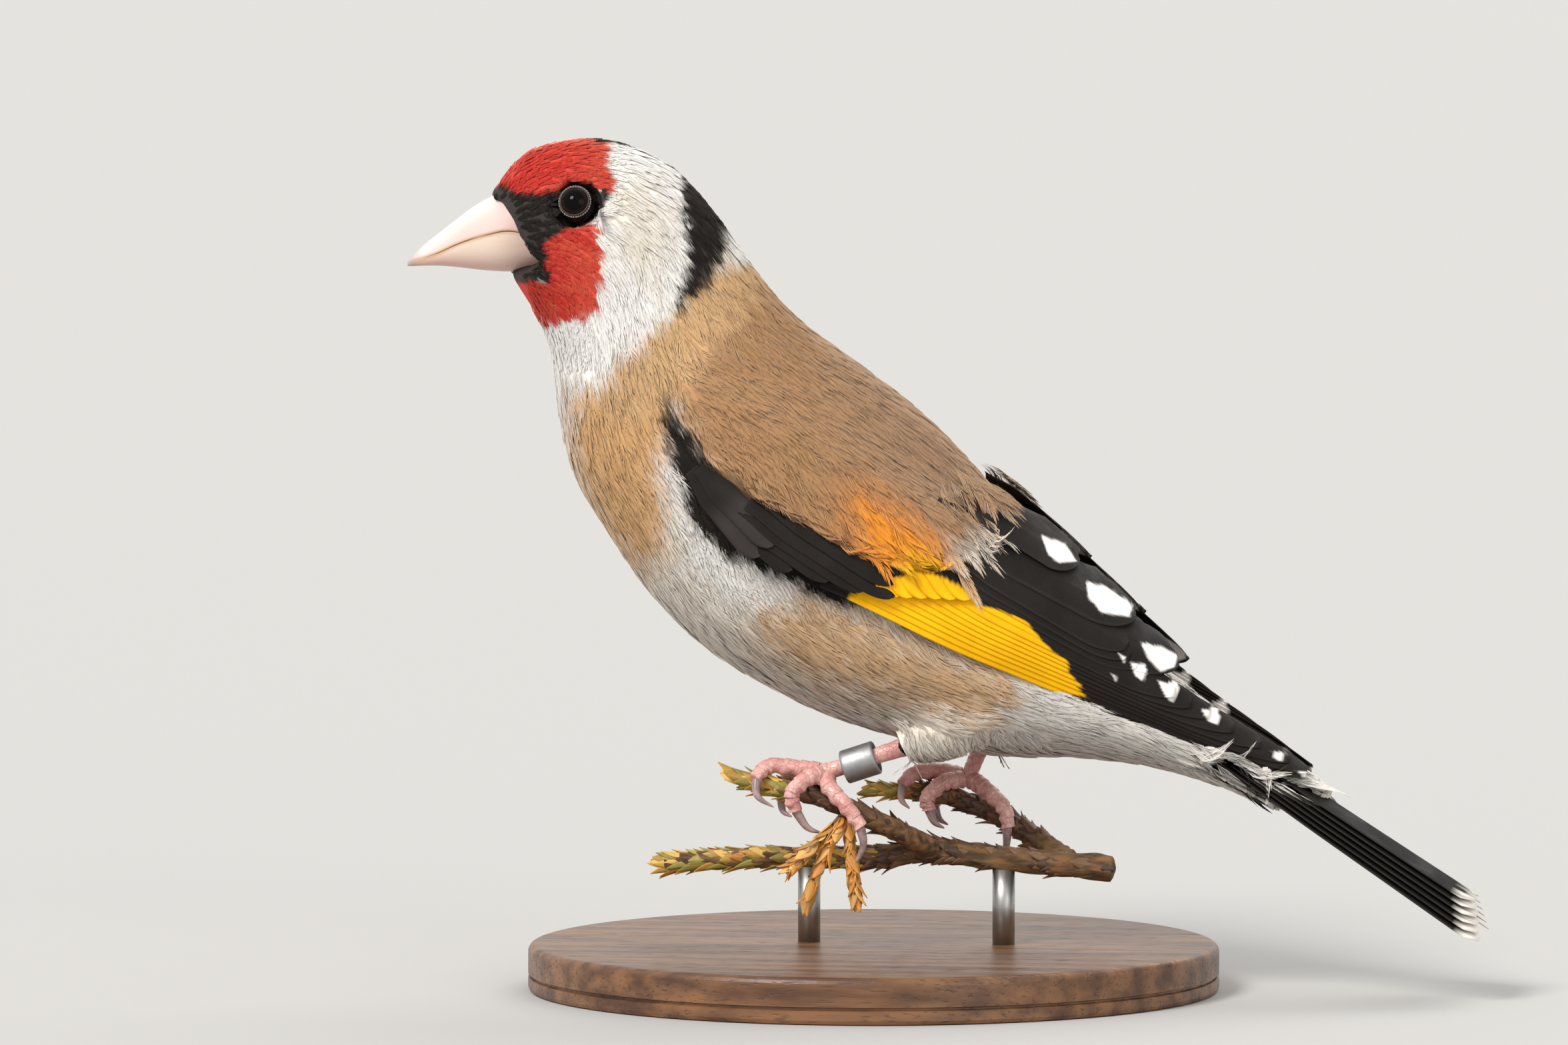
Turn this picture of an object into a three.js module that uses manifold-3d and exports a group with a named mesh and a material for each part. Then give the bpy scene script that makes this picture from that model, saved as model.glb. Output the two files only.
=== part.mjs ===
// A European goldfinch, life-size, perched on a cut length of conifer twig that a plain stand holds.
// Millimetres, +Z up. The bird faces -X and its left side faces -Y. The origin is the centre of the
// underside of the stand's base. Side views below are drawn as [x, z] pairs in the bird's mid plane.
import * as THREE from "three";
import { mergeVertices } from "three/addons/utils/BufferGeometryUtils.js";
import Module from "manifold-3d";

const wasm = await Module();
wasm.setup();

// Sizes that hold for the whole object.
const GAP = 0.3;
const VANE_THICKNESS = 0.5;
const BODY_SIDES = 24;
const LEFT = -1;
const RIGHT = 1;

// The wings are drawn as they look from a little behind and above the bird's side.
const SIGHT_AZIMUTH = THREE.MathUtils.degToRad(8);
const SIGHT_ELEVATION = THREE.MathUtils.degToRad(4);
const SIGHT_STEPS = 6;

// Trunk sections from the face to the tail coverts: [top x, top z, bottom x, bottom z, half width, widest point's shift].
const TRUNK = [
  [-41.3, 85.2, -40.9, 78.4, 3.0, 0],
  [-40.2, 86.8, -39.6, 76.7, 4.5, 0],
  [-37.6, 89.7, -38.5, 74.9, 6.5, 0.2],
  [-33.0, 91.0, -36.7, 72.1, 8.2, 0.2],
  [-27.9, 91.2, -35.4, 69.9, 9.3, -0.4],
  [-21.3, 88.4, -34.7, 67.0, 9.9, -1.0],
  [-16.5, 83.2, -34.1, 63.3, 10.3, -1.4],
  [-13.0, 78.2, -33.4, 58.9, 11.2, -1.2],
  [-8.2, 72.4, -31.9, 54.1, 12.8, -0.6],
  [-1.4, 67.4, -29.0, 49.2, 14.4, 0],
  [4.5, 63.0, -25.0, 42.9, 15.4, 0],
  [9.6, 58.2, -19.8, 37.4, 15.8, 0],
  [13.6, 53.6, -13.9, 33.5, 15.6, 0],
  [18.0, 48.2, -5.8, 29.5, 14.8, 0],
  [23.0, 43.0, 3.0, 26.8, 13.2, 0],
  [28.3, 38.0, 13.3, 25.0, 11.0, 0],
  [33.9, 33.2, 21.4, 25.0, 8.6, 0],
  [39.9, 28.9, 29.0, 24.2, 6.4, 0],
  [45.8, 24.6, 36.5, 22.2, 4.6, 0],
  [50.4, 21.2, 42.5, 19.8, 3.2, 0],
];
const FIRST_HEAD = 0;
const HEAD_NECK = 5.6;
const NECK_TORSO = 8.0;
const TORSO_RUMP = 13.4;
const LAST_RUMP = 19;
const CUT = 0.024; // half of the parting between two flesh nodes, in sections

// The surface that the folded wings lie on, in the same form as the trunk's sections.
const WING_SHELL = [
  [-21.3, 88.4, -34.7, 67.0, 11.0, 0],
  [-13.0, 78.4, -33.4, 58.9, 12.6, 0],
  [-8.0, 72.6, -31.9, 54.1, 14.4, 0],
  [-1.2, 67.8, -29.0, 49.2, 16.4, 0],
  [4.8, 63.5, -25.0, 42.9, 17.8, 0],
  [9.9, 58.9, -19.8, 37.4, 18.3, 0],
  [14.4, 54.9, -12.0, 34.0, 17.8, 0],
  [19.7, 50.3, 0.0, 30.0, 16.0, 0],
  [24.7, 45.4, 10.0, 28.6, 13.4, 0],
  [29.7, 40.5, 18.0, 27.2, 10.8, 0],
  [34.7, 35.8, 25.5, 26.0, 8.4, 0],
  [39.7, 31.4, 32.5, 24.4, 6.4, 0],
  [44.2, 27.7, 39.0, 22.6, 5.0, 0],
  [48.5, 24.4, 45.0, 20.8, 4.0, 0],
];

// Vector from a side view pair.
const flat = ([x, z], y = 0) => new THREE.Vector3(x, y, z);
const vec = (x, y, z) => new THREE.Vector3(x, y, z);
const mix = (a, b, t) => a + (b - a) * t;
const mixPair = (a, b, t) => [mix(a[0], b[0], t), mix(a[1], b[1], t)];
const smooth = (t) => {
  const c = Math.min(1, Math.max(0, t));
  return c * c * (3 - 2 * c);
};

// A three.js geometry as a solid.
function solidOf(geometry) {
  const bare = geometry.clone();
  bare.deleteAttribute("normal");
  bare.deleteAttribute("uv");
  const merged = mergeVertices(bare, 1e-4);
  return new wasm.Manifold(
    new wasm.Mesh({
      numProp: 3,
      vertProperties: merged.attributes.position.array,
      triVerts: new Uint32Array(merged.index.array),
    }),
  );
}

// Closed triangles as a solid whose faces point out.
function solidFrom(points, triangles) {
  const build = (list) =>
    solidOf(new THREE.BufferGeometry().setFromPoints(points).setIndex(list.flat()));
  const made = build(triangles);
  return made.volume() > 0 ? made : build(triangles.map(([a, b, c]) => [a, c, b]));
}

// The largest closed surface of a solid, which drops loose scraps.
function largest(solid) {
  const pieces = solid.decompose();
  return pieces.reduce((best, piece) => (piece.volume() > best.volume() ? piece : best));
}

const joined = (solids) => solids.reduce((sum, solid) => sum.add(solid));

// A closed skin over rings of points, capped at both ends.
function loft(rings) {
  const n = rings[0].length;
  const points = rings.flat();
  const triangles = [];
  for (let i = 0; i + 1 < rings.length; i++)
    for (let j = 0; j < n; j++) {
      const a = i * n + j;
      const b = i * n + ((j + 1) % n);
      triangles.push([a, b, b + n], [a, b + n, a + n]);
    }
  for (const start of [0, (rings.length - 1) * n]) {
    const middle = vec(0, 0, 0);
    for (let j = 0; j < n; j++) middle.addScaledVector(points[start + j], 1 / n);
    const centre = points.push(middle) - 1;
    for (let j = 0; j < n; j++) {
      const a = start + j;
      const b = start + ((j + 1) % n);
      triangles.push(start ? [a, b, centre] : [b, a, centre]);
    }
  }
  return solidFrom(points, triangles);
}

// A thin closed plate between two like grids of points, split into triangles alike on both faces.
function plate(top, bottom) {
  const rows = top.length;
  const cols = top[0].length;
  const points = [...top.flat(), ...bottom.flat()];
  const under = rows * cols;
  const at = (r, c) => r * cols + c;
  const triangles = [];
  for (let r = 0; r + 1 < rows; r++)
    for (let c = 0; c + 1 < cols; c++) {
      const [a, b, d, e] = [at(r, c), at(r, c + 1), at(r + 1, c), at(r + 1, c + 1)];
      triangles.push([a, b, e], [a, e, d]);
      triangles.push([a + under, e + under, b + under], [a + under, d + under, e + under]);
    }
  const rim = [];
  for (let c = 0; c < cols; c++) rim.push(at(0, c));
  for (let r = 1; r < rows; r++) rim.push(at(r, cols - 1));
  for (let c = cols - 2; c >= 0; c--) rim.push(at(rows - 1, c));
  for (let r = rows - 2; r > 0; r--) rim.push(at(r, 0));
  rim.forEach((a, i) => {
    const b = rim[(i + 1) % rim.length];
    triangles.push([b, a, a + under], [b, a + under, b + under]);
  });
  return solidFrom(points, triangles);
}

// A round bar along a curve, with a radius at each of its points.
function bar(centres, radii, sides, steps) {
  const path = new THREE.CatmullRomCurve3(centres, false, "catmullrom", 0.5);
  const last = centres.length - 1;
  const frames = path.computeFrenetFrames(steps, false);
  const rings = [];
  for (let i = 0; i <= steps; i++) {
    const u = i / steps;
    const t = path.getUtoTmapping(u) * last;
    const k = Math.min(last - 1, Math.floor(t));
    const radius = mix(radii[k], radii[k + 1], t - k);
    const centre = path.getPointAt(u);
    const ring = [];
    for (let j = 0; j < sides; j++) {
      const angle = (2 * Math.PI * j) / sides;
      ring.push(
        centre
          .clone()
          .addScaledVector(frames.normals[i], radius * Math.cos(angle))
          .addScaledVector(frames.binormals[i], radius * Math.sin(angle)),
      );
    }
    rings.push(ring);
  }
  return loft(rings);
}

// A family of sections that can be read at any place between two of them.
class Sections {
  constructor(rows, sides) {
    this.sides = sides;
    const smoothCurve = (points) => new THREE.CatmullRomCurve3(points, false, "catmullrom", 0.5);
    this.last = rows.length - 1;
    this.tops = smoothCurve(rows.map((r) => flat([r[0], r[1]])));
    this.bottoms = smoothCurve(rows.map((r) => flat([r[2], r[3]])));
    this.widths = smoothCurve(rows.map((r) => vec(r[4], r[5], 0)));
  }

  at(q) {
    const t = q / this.last;
    const top = this.tops.getPoint(t);
    const bottom = this.bottoms.getPoint(t);
    const width = this.widths.getPoint(t);
    const up = top.clone().sub(bottom);
    const half = up.length() / 2;
    up.normalize();
    return { centre: top.add(bottom).multiplyScalar(0.5), up, half, width: width.x, shift: width.y };
  }

  // The point at an angle from the top, on one side, raised off the surface by lift.
  point(q, angle, side, lift) {
    const s = this.at(q);
    const rise = (s.half + lift) * Math.cos(angle) + s.shift * Math.sin(angle) ** 2;
    return s.centre
      .addScaledVector(s.up, rise)
      .add(vec(0, side * (s.width + lift) * Math.sin(angle), 0));
  }

  // The section and angle whose point is at (x, z) in the side view.
  locate([x, z]) {
    const across = (q) => {
      const s = this.at(q);
      return (x - s.centre.x) * s.up.z - (z - s.centre.z) * s.up.x;
    };
    let low = 0;
    let high = this.last;
    for (let i = 0; i < 40; i++) {
      const middle = (low + high) / 2;
      if (across(middle) > 0) low = middle;
      else high = middle;
    }
    const s = this.at(low);
    const rise = (x - s.centre.x) * s.up.x + (z - s.centre.z) * s.up.z;
    return { q: low, angle: Math.acos(Math.min(0.998, Math.max(-0.998, rise / s.half))) };
  }

  // The surface point on one side that is seen at (x, z) in the drawing of the wings.
  seen([drawnX, drawnZ], side, lift) {
    const [sinA, cosA] = [Math.sin(SIGHT_AZIMUTH), Math.cos(SIGHT_AZIMUTH)];
    const [sinE, cosE] = [Math.sin(SIGHT_ELEVATION), Math.cos(SIGHT_ELEVATION)];
    let out = this.at(this.last / 2).width;
    let found;
    for (let i = 0; i < SIGHT_STEPS; i++) {
      const x = (drawnX + out * sinA) / cosA;
      const z = (drawnZ + x * sinA * sinE + out * cosA * sinE) / cosE;
      const { q, angle } = this.locate([x, z]);
      found = this.point(q, angle, side, lift);
      out = Math.abs(found.y);
    }
    return found;
  }

  ring(q, grow) {
    const ring = [];
    for (let j = 0; j < this.sides; j++)
      ring.push(this.point(q, (2 * Math.PI * j) / this.sides, 1, grow));
    return ring;
  }

  // A closed length of the surface, grown outwards by a distance.
  length(from, to, step, grow = 0) {
    const count = Math.max(2, Math.round((to - from) / step));
    const rings = [];
    for (let i = 0; i <= count; i++) rings.push(this.ring(mix(from, to, i / count), grow));
    return loft(rings);
  }
}

const trunk = new Sections(TRUNK, BODY_SIDES);
const shell = new Sections(WING_SHELL, BODY_SIDES);
const trunkRoom = trunk.length(5, LAST_RUMP, 0.5, GAP);

// A feather vane drawn in the side view and laid on the wing shell. lifts are at its root and tip, and
// tilt raises the edge nearest the belly over the vane before it and sinks the other edge.
function wingVane(side, { root, tip, width, lifts, tilt = 0.25, rows = 4, cols = 2 }) {
  const along = [tip[0] - root[0], tip[1] - root[1]];
  const span = Math.hypot(...along);
  const across = [-along[1] / span, along[0] / span];
  const top = [];
  const bottom = [];
  for (let r = 0; r <= rows; r++) {
    const u = r / rows;
    const tipRound = Math.sqrt(1 - Math.max(0, (u - 0.78) / 0.22) ** 2 * 0.86);
    const half = (width / 2) * (0.55 + 0.45 * smooth(u / 0.35)) * tipRound;
    const topRow = [];
    const bottomRow = [];
    for (let c = 0; c < cols; c++) {
      const v = mix(1, -1, c / (cols - 1));
      const pair = [
        root[0] + along[0] * u + across[0] * v * half,
        root[1] + along[1] * u + across[1] * v * half,
      ];
      const lift = mix(lifts[0], lifts[1], u) - v * tilt;
      topRow.push(shell.seen(pair, side, lift + VANE_THICKNESS / 2));
      bottomRow.push(shell.seen(pair, side, lift - VANE_THICKNESS / 2));
    }
    top.push(topRow);
    bottom.push(bottomRow);
  }
  return plate(top, bottom);
}

// A patch of the shell between an upper and a lower line, from one lift to another.
function shellPatch(side, upper, lower, cols, liftAt, depth) {
  const top = [];
  const bottom = [];
  upper.forEach((pair, r) => {
    const u = r / (upper.length - 1);
    const topRow = [];
    const bottomRow = [];
    for (let c = 0; c < cols; c++) {
      const v = c / (cols - 1);
      const place = mixPair(pair, lower[r], v);
      const lift = liftAt(u, v);
      topRow.push(shell.seen(place, side, lift));
      bottomRow.push(shell.seen(place, side, depth));
    }
    top.push(topRow);
    bottom.push(bottomRow);
  });
  return plate(top, bottom);
}

// Wing feathers, from the wing's leading edge at the belly side up to the back.
const PRIMARY_TIPS = [
  [43.2, 23.9],
  [45.2, 23.5],
  [45.4, 24.0],
  [43.8, 25.0],
  [41.0, 26.6],
  [37.9, 28.3],
  [35.2, 29.8],
  [33.0, 31.0],
  [31.2, 32.2],
];
const PRIMARY_ROOTS = [
  [-5.6, 44.0],
  [4.0, 45.6],
];
const PRIMARY_WIDTH = 3.6;
const SECONDARY_TIPS = [
  [30.4, 32.9],
  [29.0, 33.9],
  [27.8, 34.9],
  [27.0, 35.9],
  [26.6, 37.0],
];
const SECONDARY_ROOTS = [
  [4.2, 46.2],
  [6.6, 49.0],
];
const SECONDARY_WIDTH = 4.6;
const TERTIALS = [
  { root: [3.5, 49.0], tip: [31.9, 35.0], width: 6.4 },
  { root: [6.4, 51.6], tip: [27.4, 40.4], width: 6.0 },
  { root: [9.4, 53.6], tip: [21.4, 46.0], width: 5.0 },
];
const GREATER_COVERT_ROOTS = [
  [-5.0, 51.0],
  [4.4, 50.4],
];
const GREATER_COVERT_TIPS = [
  [0.8, 42.2],
  [10.0, 41.8],
];
const GREATER_COVERTS = 5;
const PRIMARY_COVERTS = [
  { root: [-15.6, 50.6], tip: [-8.2, 45.2], width: 2.6 },
  { root: [-14.6, 51.4], tip: [-2.6, 43.2], width: 2.8 },
  { root: [-13.4, 52.0], tip: [2.0, 42.2], width: 3.0 },
  { root: [-12.2, 52.8], tip: [1.8, 43.6], width: 3.0 },
];
const ALULA = [
  { root: [-19.2, 55.4], tip: [-12.6, 46.6], width: 3.0 },
  { root: [-18.0, 55.6], tip: [-11.0, 46.2], width: 3.0 },
];
const WING_CORE_UPPER = [
  [-19.8, 61.5],
  [-14.0, 60.5],
  [-6.0, 58.0],
  [3.0, 54.0],
  [11.0, 49.0],
  [17.0, 43.5],
];
const WING_CORE_LOWER = [
  [-20.2, 57.0],
  [-17.0, 51.0],
  [-11.5, 46.6],
  [-4.0, 43.4],
  [4.0, 40.4],
  [12.0, 37.0],
];
const PAD_LIFT = 1.5;
const PAD_UPPER = [
  [-20.4, 66.8],
  [-14.4, 67.0],
  [-7.8, 65.0],
  [-1.0, 61.2],
  [5.2, 57.0],
  [10.2, 53.4],
  [14.6, 50.4],
];
const PAD_LOWER = [
  [-21.8, 62.4],
  [-18.2, 56.6],
  [-12.8, 52.0],
  [-6.4, 48.2],
  [-0.2, 45.4],
  [7.0, 44.2],
  [13.4, 46.8],
];

// The flight feathers and coverts of a folded wing, joined at their roots on the hand and forearm.
function wing(side) {
  const core = shellPatch(side, WING_CORE_UPPER, WING_CORE_LOWER, 4, () => -0.5, -6);
  const vanes = [];
  PRIMARY_TIPS.forEach((tip, k) => {
    const share = k / (PRIMARY_TIPS.length - 1);
    vanes.push(
      wingVane(side, {
        root: mixPair(...PRIMARY_ROOTS, share),
        tip,
        width: PRIMARY_WIDTH,
        lifts: [mix(-0.9, -0.7, share), mix(-0.5, 0.2, share)],
      }),
    );
  });
  SECONDARY_TIPS.forEach((tip, k) => {
    const share = k / (SECONDARY_TIPS.length - 1);
    vanes.push(
      wingVane(side, {
        root: mixPair(...SECONDARY_ROOTS, share),
        tip,
        width: SECONDARY_WIDTH,
        lifts: [mix(-0.6, -0.4, share), mix(-0.4, -0.2, share)],
      }),
    );
  });
  TERTIALS.forEach((tertial, k) =>
    vanes.push(wingVane(side, { ...tertial, lifts: [-0.2 + 0.2 * k, 0.15 + 0.25 * k], cols: 3 })),
  );
  for (let k = 0; k < GREATER_COVERTS; k++) {
    const share = k / (GREATER_COVERTS - 1);
    vanes.push(
      wingVane(side, {
        root: mixPair(...GREATER_COVERT_ROOTS, share),
        tip: mixPair(...GREATER_COVERT_TIPS, share),
        width: 3.6,
        lifts: [0, 0.15],
        rows: 3,
      }),
    );
  }
  for (const covert of PRIMARY_COVERTS) vanes.push(wingVane(side, { ...covert, lifts: [-0.1, 0.1] }));
  for (const feather of ALULA) vanes.push(wingVane(side, { ...feather, lifts: [0, -0.1], rows: 3 }));
  const room = joined([trunkRoom, shoulderPad(side, GAP + 0.05), tailRoom(), otherHalf(side)]);
  return largest(joined([core, ...vanes]).subtract(room));
}

// Everything beyond the mid plane, with half a gap.
function otherHalf(side) {
  const size = 200;
  const block = new THREE.BoxGeometry(size, size, size);
  return solidOf(block.translate(0, -side * (size / 2 - GAP / 2), 0));
}

// The brown pad of scapulars and small coverts that covers the wing's root, grown by a distance.
function shoulderPad(side, grow) {
  const upper = widened(PAD_UPPER, PAD_LOWER, grow);
  const lower = widened(PAD_LOWER, PAD_UPPER, grow);
  const liftAt = (u, v) => {
    const ends = smooth(u / 0.25) * smooth((1 - u) / 0.2);
    return PAD_LIFT * smooth(v / 0.5) * (0.35 + 0.65 * ends) - 1.2 * smooth(1 - v / 0.5) + grow;
  };
  return shellPatch(side, upper, lower, 6, liftAt, -6);
}

// A line moved away from another by a distance, and lengthened by it at both ends.
function widened(line, other, distance) {
  const moved = line.map((pair, i) => {
    const away = [pair[0] - other[i][0], pair[1] - other[i][1]];
    const size = Math.hypot(...away) || 1;
    return [pair[0] + (away[0] / size) * distance, pair[1] + (away[1] / size) * distance];
  });
  const longer = (a, b) => {
    const size = Math.hypot(a[0] - b[0], a[1] - b[1]);
    return mixPair(b, a, 1 + distance / size);
  };
  const last = moved.length - 1;
  moved[0] = longer(moved[0], moved[1]);
  moved[last] = longer(moved[last], moved[last - 1]);
  return moved;
}

// Tail: six feathers a side, in a shallow roof, the middle pair on top.
const TAIL_ROOT = vec(25.5, 0, 33.8);
const TAIL_FALL = THREE.MathUtils.degToRad(32.5);
const TAIL_ALONG = vec(Math.cos(TAIL_FALL), 0, -Math.sin(TAIL_FALL));
const TAIL_UP = vec(Math.sin(TAIL_FALL), 0, Math.cos(TAIL_FALL));
const TAIL_PAIRS = 6;
const TAIL_ROWS = 4;
const TAIL_LENGTH = 45.5;
const TAIL_FORK = 0.55; // how much longer each pair is than the one inside it
const TAIL_STEP = 0.78; // spread of one feather from the next at the tip
const TAIL_RISE = 1.9;
const TAIL_DROP = 0.6; // fall of one feather below the next

function tailVane(side, k, grow = 0, rows = TAIL_ROWS) {
  const length = TAIL_LENGTH + TAIL_FORK * k;
  const top = [];
  const bottom = [];
  for (let r = 0; r <= rows; r++) {
    const u = r / rows;
    const tipRound = Math.sqrt(1 - Math.max(0, (u - 0.88) / 0.12) ** 2 * 0.8);
    const half = mix(1.3, 2.9, smooth(u / 0.6)) * tipRound + grow;
    const middle = side * (mix(0.5, 1.6, u) + k * mix(0.3, TAIL_STEP, u));
    const topRow = [];
    const bottomRow = [];
    for (const v of [-1, 1]) {
      const y = middle + side * v * half;
      const height = TAIL_RISE - k * mix(0.3, TAIL_DROP, u) - Math.abs(y) * 0.16;
      const centre = TAIL_ROOT.clone()
        .addScaledVector(TAIL_ALONG, length * u)
        .addScaledVector(TAIL_UP, height)
        .add(vec(0, y, 0));
      topRow.push(centre.clone().addScaledVector(TAIL_UP, VANE_THICKNESS / 2 + grow));
      bottomRow.push(centre.clone().addScaledVector(TAIL_UP, -VANE_THICKNESS / 2 - grow));
    }
    top.push(topRow);
    bottom.push(bottomRow);
  }
  return plate(top, bottom);
}

function tail() {
  const vanes = [];
  for (let k = 0; k < TAIL_PAIRS; k++) for (const side of [LEFT, RIGHT]) vanes.push(tailVane(side, k));
  const quills = bar(
    [TAIL_ROOT.clone(), TAIL_ROOT.clone().addScaledVector(TAIL_ALONG, 12)],
    [2.2, 1.4],
    8,
    2,
  );
  return largest(joined([quills, ...vanes]));
}

// The room that the tail takes inside its coverts.
function tailRoom() {
  const vanes = [];
  for (let k = 0; k < TAIL_PAIRS; k++)
    for (const side of [LEFT, RIGHT]) vanes.push(tailVane(side, k, GAP + 0.05));
  const quills = bar(
    [TAIL_ROOT.clone().addScaledVector(TAIL_ALONG, -GAP), TAIL_ROOT.clone().addScaledVector(TAIL_ALONG, 13)],
    [2.2 + GAP, 1.8 + GAP],
    8,
    2,
  );
  return joined([quills, ...vanes]);
}

// Bill sections from its root inside the face to its tip, in the trunk's form, and the line of the mouth.
const BILL = [
  [-38.4, 85.6, -36.6, 77.3, 3.7, -0.4],
  [-40.4, 85.1, -39.2, 77.0, 3.7, -0.4],
  [-42.4, 84.0, -41.4, 77.0, 3.1, -0.3],
  [-44.8, 82.6, -43.8, 77.4, 2.4, -0.2],
  [-47.1, 81.0, -46.6, 77.7, 1.6, -0.1],
  [-49.0, 79.3, -48.8, 77.7, 0.8, 0],
  [-50.3, 77.9, -50.2, 77.4, 0.2, 0],
];
const BILL_SIDES = 12;
const MOUTH = [
  [-51.2, 77.2],
  [-50.2, 77.7],
  [-48.6, 78.6],
  [-46.9, 79.3],
  [-44.7, 80.1],
  [-42.3, 80.5],
  [-40.2, 80.9],
  [-38.0, 80.6],
  [-34.5, 79.2],
];
const BILL_SETTING = 1.3; // how far the bill runs back into the face, in bill sections from its root
const NOSTRIL = vec(-41.6, 3.0, 83.2);

const bill = new Sections(BILL, BILL_SIDES);
const billWhole = bill.length(0.25, BILL.length - 1, 0.5);
const billRoom = bill.length(0, BILL_SETTING + 0.7, 0.5, GAP);

// Everything on one side of the mouth's line, down or up to a level.
function mouthSide(level, offset) {
  const rows = (shift, flatTo) =>
    MOUTH.map(([x, z]) => [-8, 8].map((y) => vec(x, y, flatTo ?? z + shift)));
  return plate(rows(offset), rows(0, level));
}

function billUpper() {
  const nostrils = [LEFT, RIGHT].map((side) => {
    const pit = new THREE.SphereGeometry(0.5, 10, 6).scale(1.3, 1, 0.8);
    return solidOf(pit.translate(NOSTRIL.x, side * NOSTRIL.y, NOSTRIL.z));
  });
  return largest(billWhole.subtract(mouthSide(60, GAP / 2)).subtract(joined(nostrils)));
}

const billLower = () => largest(billWhole.subtract(mouthSide(100, -GAP / 2)));

// Eyes: the globe with its ring of lid, set in the side of the head.
const EYE_PLACE = [-30.8, 84.9];
const EYE_RADIUS = 2.2;
const EYE_DEPTH = 1.35;
const LID_RADIUS = 1.85;
const LID_THICKNESS = 0.32;

function eye(side, grow) {
  const { q, angle } = trunk.locate(EYE_PLACE);
  const place = trunk.point(q, angle, side, 0);
  const behind = trunk.point(q, angle, side, -2);
  const out = place.clone().sub(behind).normalize();
  const turn = new THREE.Quaternion().setFromUnitVectors(vec(0, 0, 1), out);
  const globe = new THREE.SphereGeometry(EYE_RADIUS + grow, 12, 8)
    .translate(0, 0, -EYE_DEPTH)
    .applyQuaternion(turn)
    .translate(place.x, place.y, place.z);
  const lid = new THREE.TorusGeometry(LID_RADIUS, LID_THICKNESS + grow, 4, 14)
    .applyQuaternion(turn)
    .translate(place.x, place.y, place.z);
  return solidOf(globe).add(solidOf(lid));
}

function head() {
  const whole = trunk.length(FIRST_HEAD, HEAD_NECK - CUT, 0.5);
  return largest(whole.subtract(joined([billRoom, eye(LEFT, GAP), eye(RIGHT, GAP)])));
}

// Legs: a tuft of belly feathers, the scaled tarsus and the foot, on each side.
const LEGS = {
  left: {
    tuft: { centres: [vec(12, -7, 32), vec(7.6, -7.3, 28.6), vec(3.6, -7.4, 26.2)], radii: [5.4, 4.4, 2.1] },
    hock: vec(4.4, -7.3, 26.75),
    joint: vec(-4.2, -7.3, 23.9),
    toes: [
      {
        centres: [vec(-6.4, -6.1, 23.9), vec(-8.6, -5.4, 22.9), vec(-9.3, -5.5, 21.2)],
        claw: [vec(-9.0, -6.0, 19.7), vec(-7.9, -6.6, 19.0)],
      },
      {
        centres: [vec(-7.0, -7.5, 24.3), vec(-10.2, -7.9, 24.5), vec(-11.6, -8.9, 23.2)],
        claw: [vec(-11.2, -9.6, 21.5), vec(-9.4, -9.8, 20.3)],
      },
      {
        centres: [vec(-5.9, -9.1, 23.4), vec(-7.4, -10.1, 21.8), vec(-7.1, -9.9, 19.9)],
        claw: [vec(-5.9, -9.3, 18.2), vec(-4.3, -8.8, 17.5)],
      },
      {
        centres: [vec(-3.6, -8.7, 22.4), vec(-1.5, -9.7, 20.3), vec(0.0, -9.7, 18.2)],
        claw: [vec(0.1, -9.3, 16.2), vec(-1.3, -8.9, 13.5)],
      },
    ],
  },
  right: {
    tuft: { centres: [vec(15, 7, 31), vec(12.4, 7.2, 28.0), vec(10.8, 7.3, 25.2)], radii: [5.2, 4.1, 2.1] },
    hock: vec(10.7, 7.3, 25.7),
    joint: vec(9.3, 7.3, 22.2),
    toes: [
      {
        centres: [vec(6.9, 5.6, 21.8), vec(5.2, 4.9, 20.2), vec(5.3, 4.9, 18.8)],
        claw: [vec(5.9, 5.0, 17.6), vec(7.0, 5.2, 16.9)],
      },
      {
        centres: [vec(6.4, 7.4, 22.8), vec(3.6, 7.2, 22.6), vec(2.2, 6.3, 21.3)],
        claw: [vec(2.3, 5.2, 20.0), vec(3.3, 4.6, 19.0)],
      },
      {
        centres: [vec(6.8, 9.1, 21.8), vec(5.2, 10.0, 20.2), vec(5.2, 9.9, 18.8)],
        claw: [vec(5.8, 9.6, 17.6), vec(6.9, 9.1, 16.9)],
      },
      {
        centres: [vec(11.2, 5.8, 21.2), vec(13.4, 4.9, 19.2), vec(13.9, 4.8, 17.0)],
        claw: [vec(13.7, 4.9, 15.0), vec(13.2, 5.1, 12.7)],
      },
    ],
  },
};
const TARSUS_RADIUS = 0.92;
const SCUTES = 6;
const SCUTE_STEP = 0.12;
const TOE_RADII = [0.95, 0.78, 0.86, 0.62];
const CLAW_RADII = [0.5, 0.36, 0.12];
const FOOT_RADIUS = 1.05;

const tuftSolid = (leg) => bar(leg.tuft.centres, leg.tuft.radii, 14, 6);

// The tarsus: a round shaft whose scutes step out one above another, from the tuft to the foot.
function tarsus(leg, side) {
  const axis = leg.hock.clone().sub(leg.joint);
  const start = FOOT_RADIUS + GAP;
  const length = axis.length() - start;
  const profile = [new THREE.Vector2(0, 0)];
  for (let i = 0; i < SCUTES; i++) {
    profile.push(new THREE.Vector2(TARSUS_RADIUS, (length * i) / SCUTES));
    profile.push(new THREE.Vector2(TARSUS_RADIUS + SCUTE_STEP, (length * (i + 0.9)) / SCUTES));
  }
  profile.push(new THREE.Vector2(TARSUS_RADIUS, length), new THREE.Vector2(0, length));
  const turn = new THREE.Quaternion().setFromUnitVectors(vec(0, 1, 0), axis.clone().normalize());
  const foot = leg.joint.clone().addScaledVector(axis.normalize(), start);
  const shaft = new THREE.LatheGeometry(profile, 10).applyQuaternion(turn).translate(...foot.toArray());
  return solidOf(shaft);
}

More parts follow.
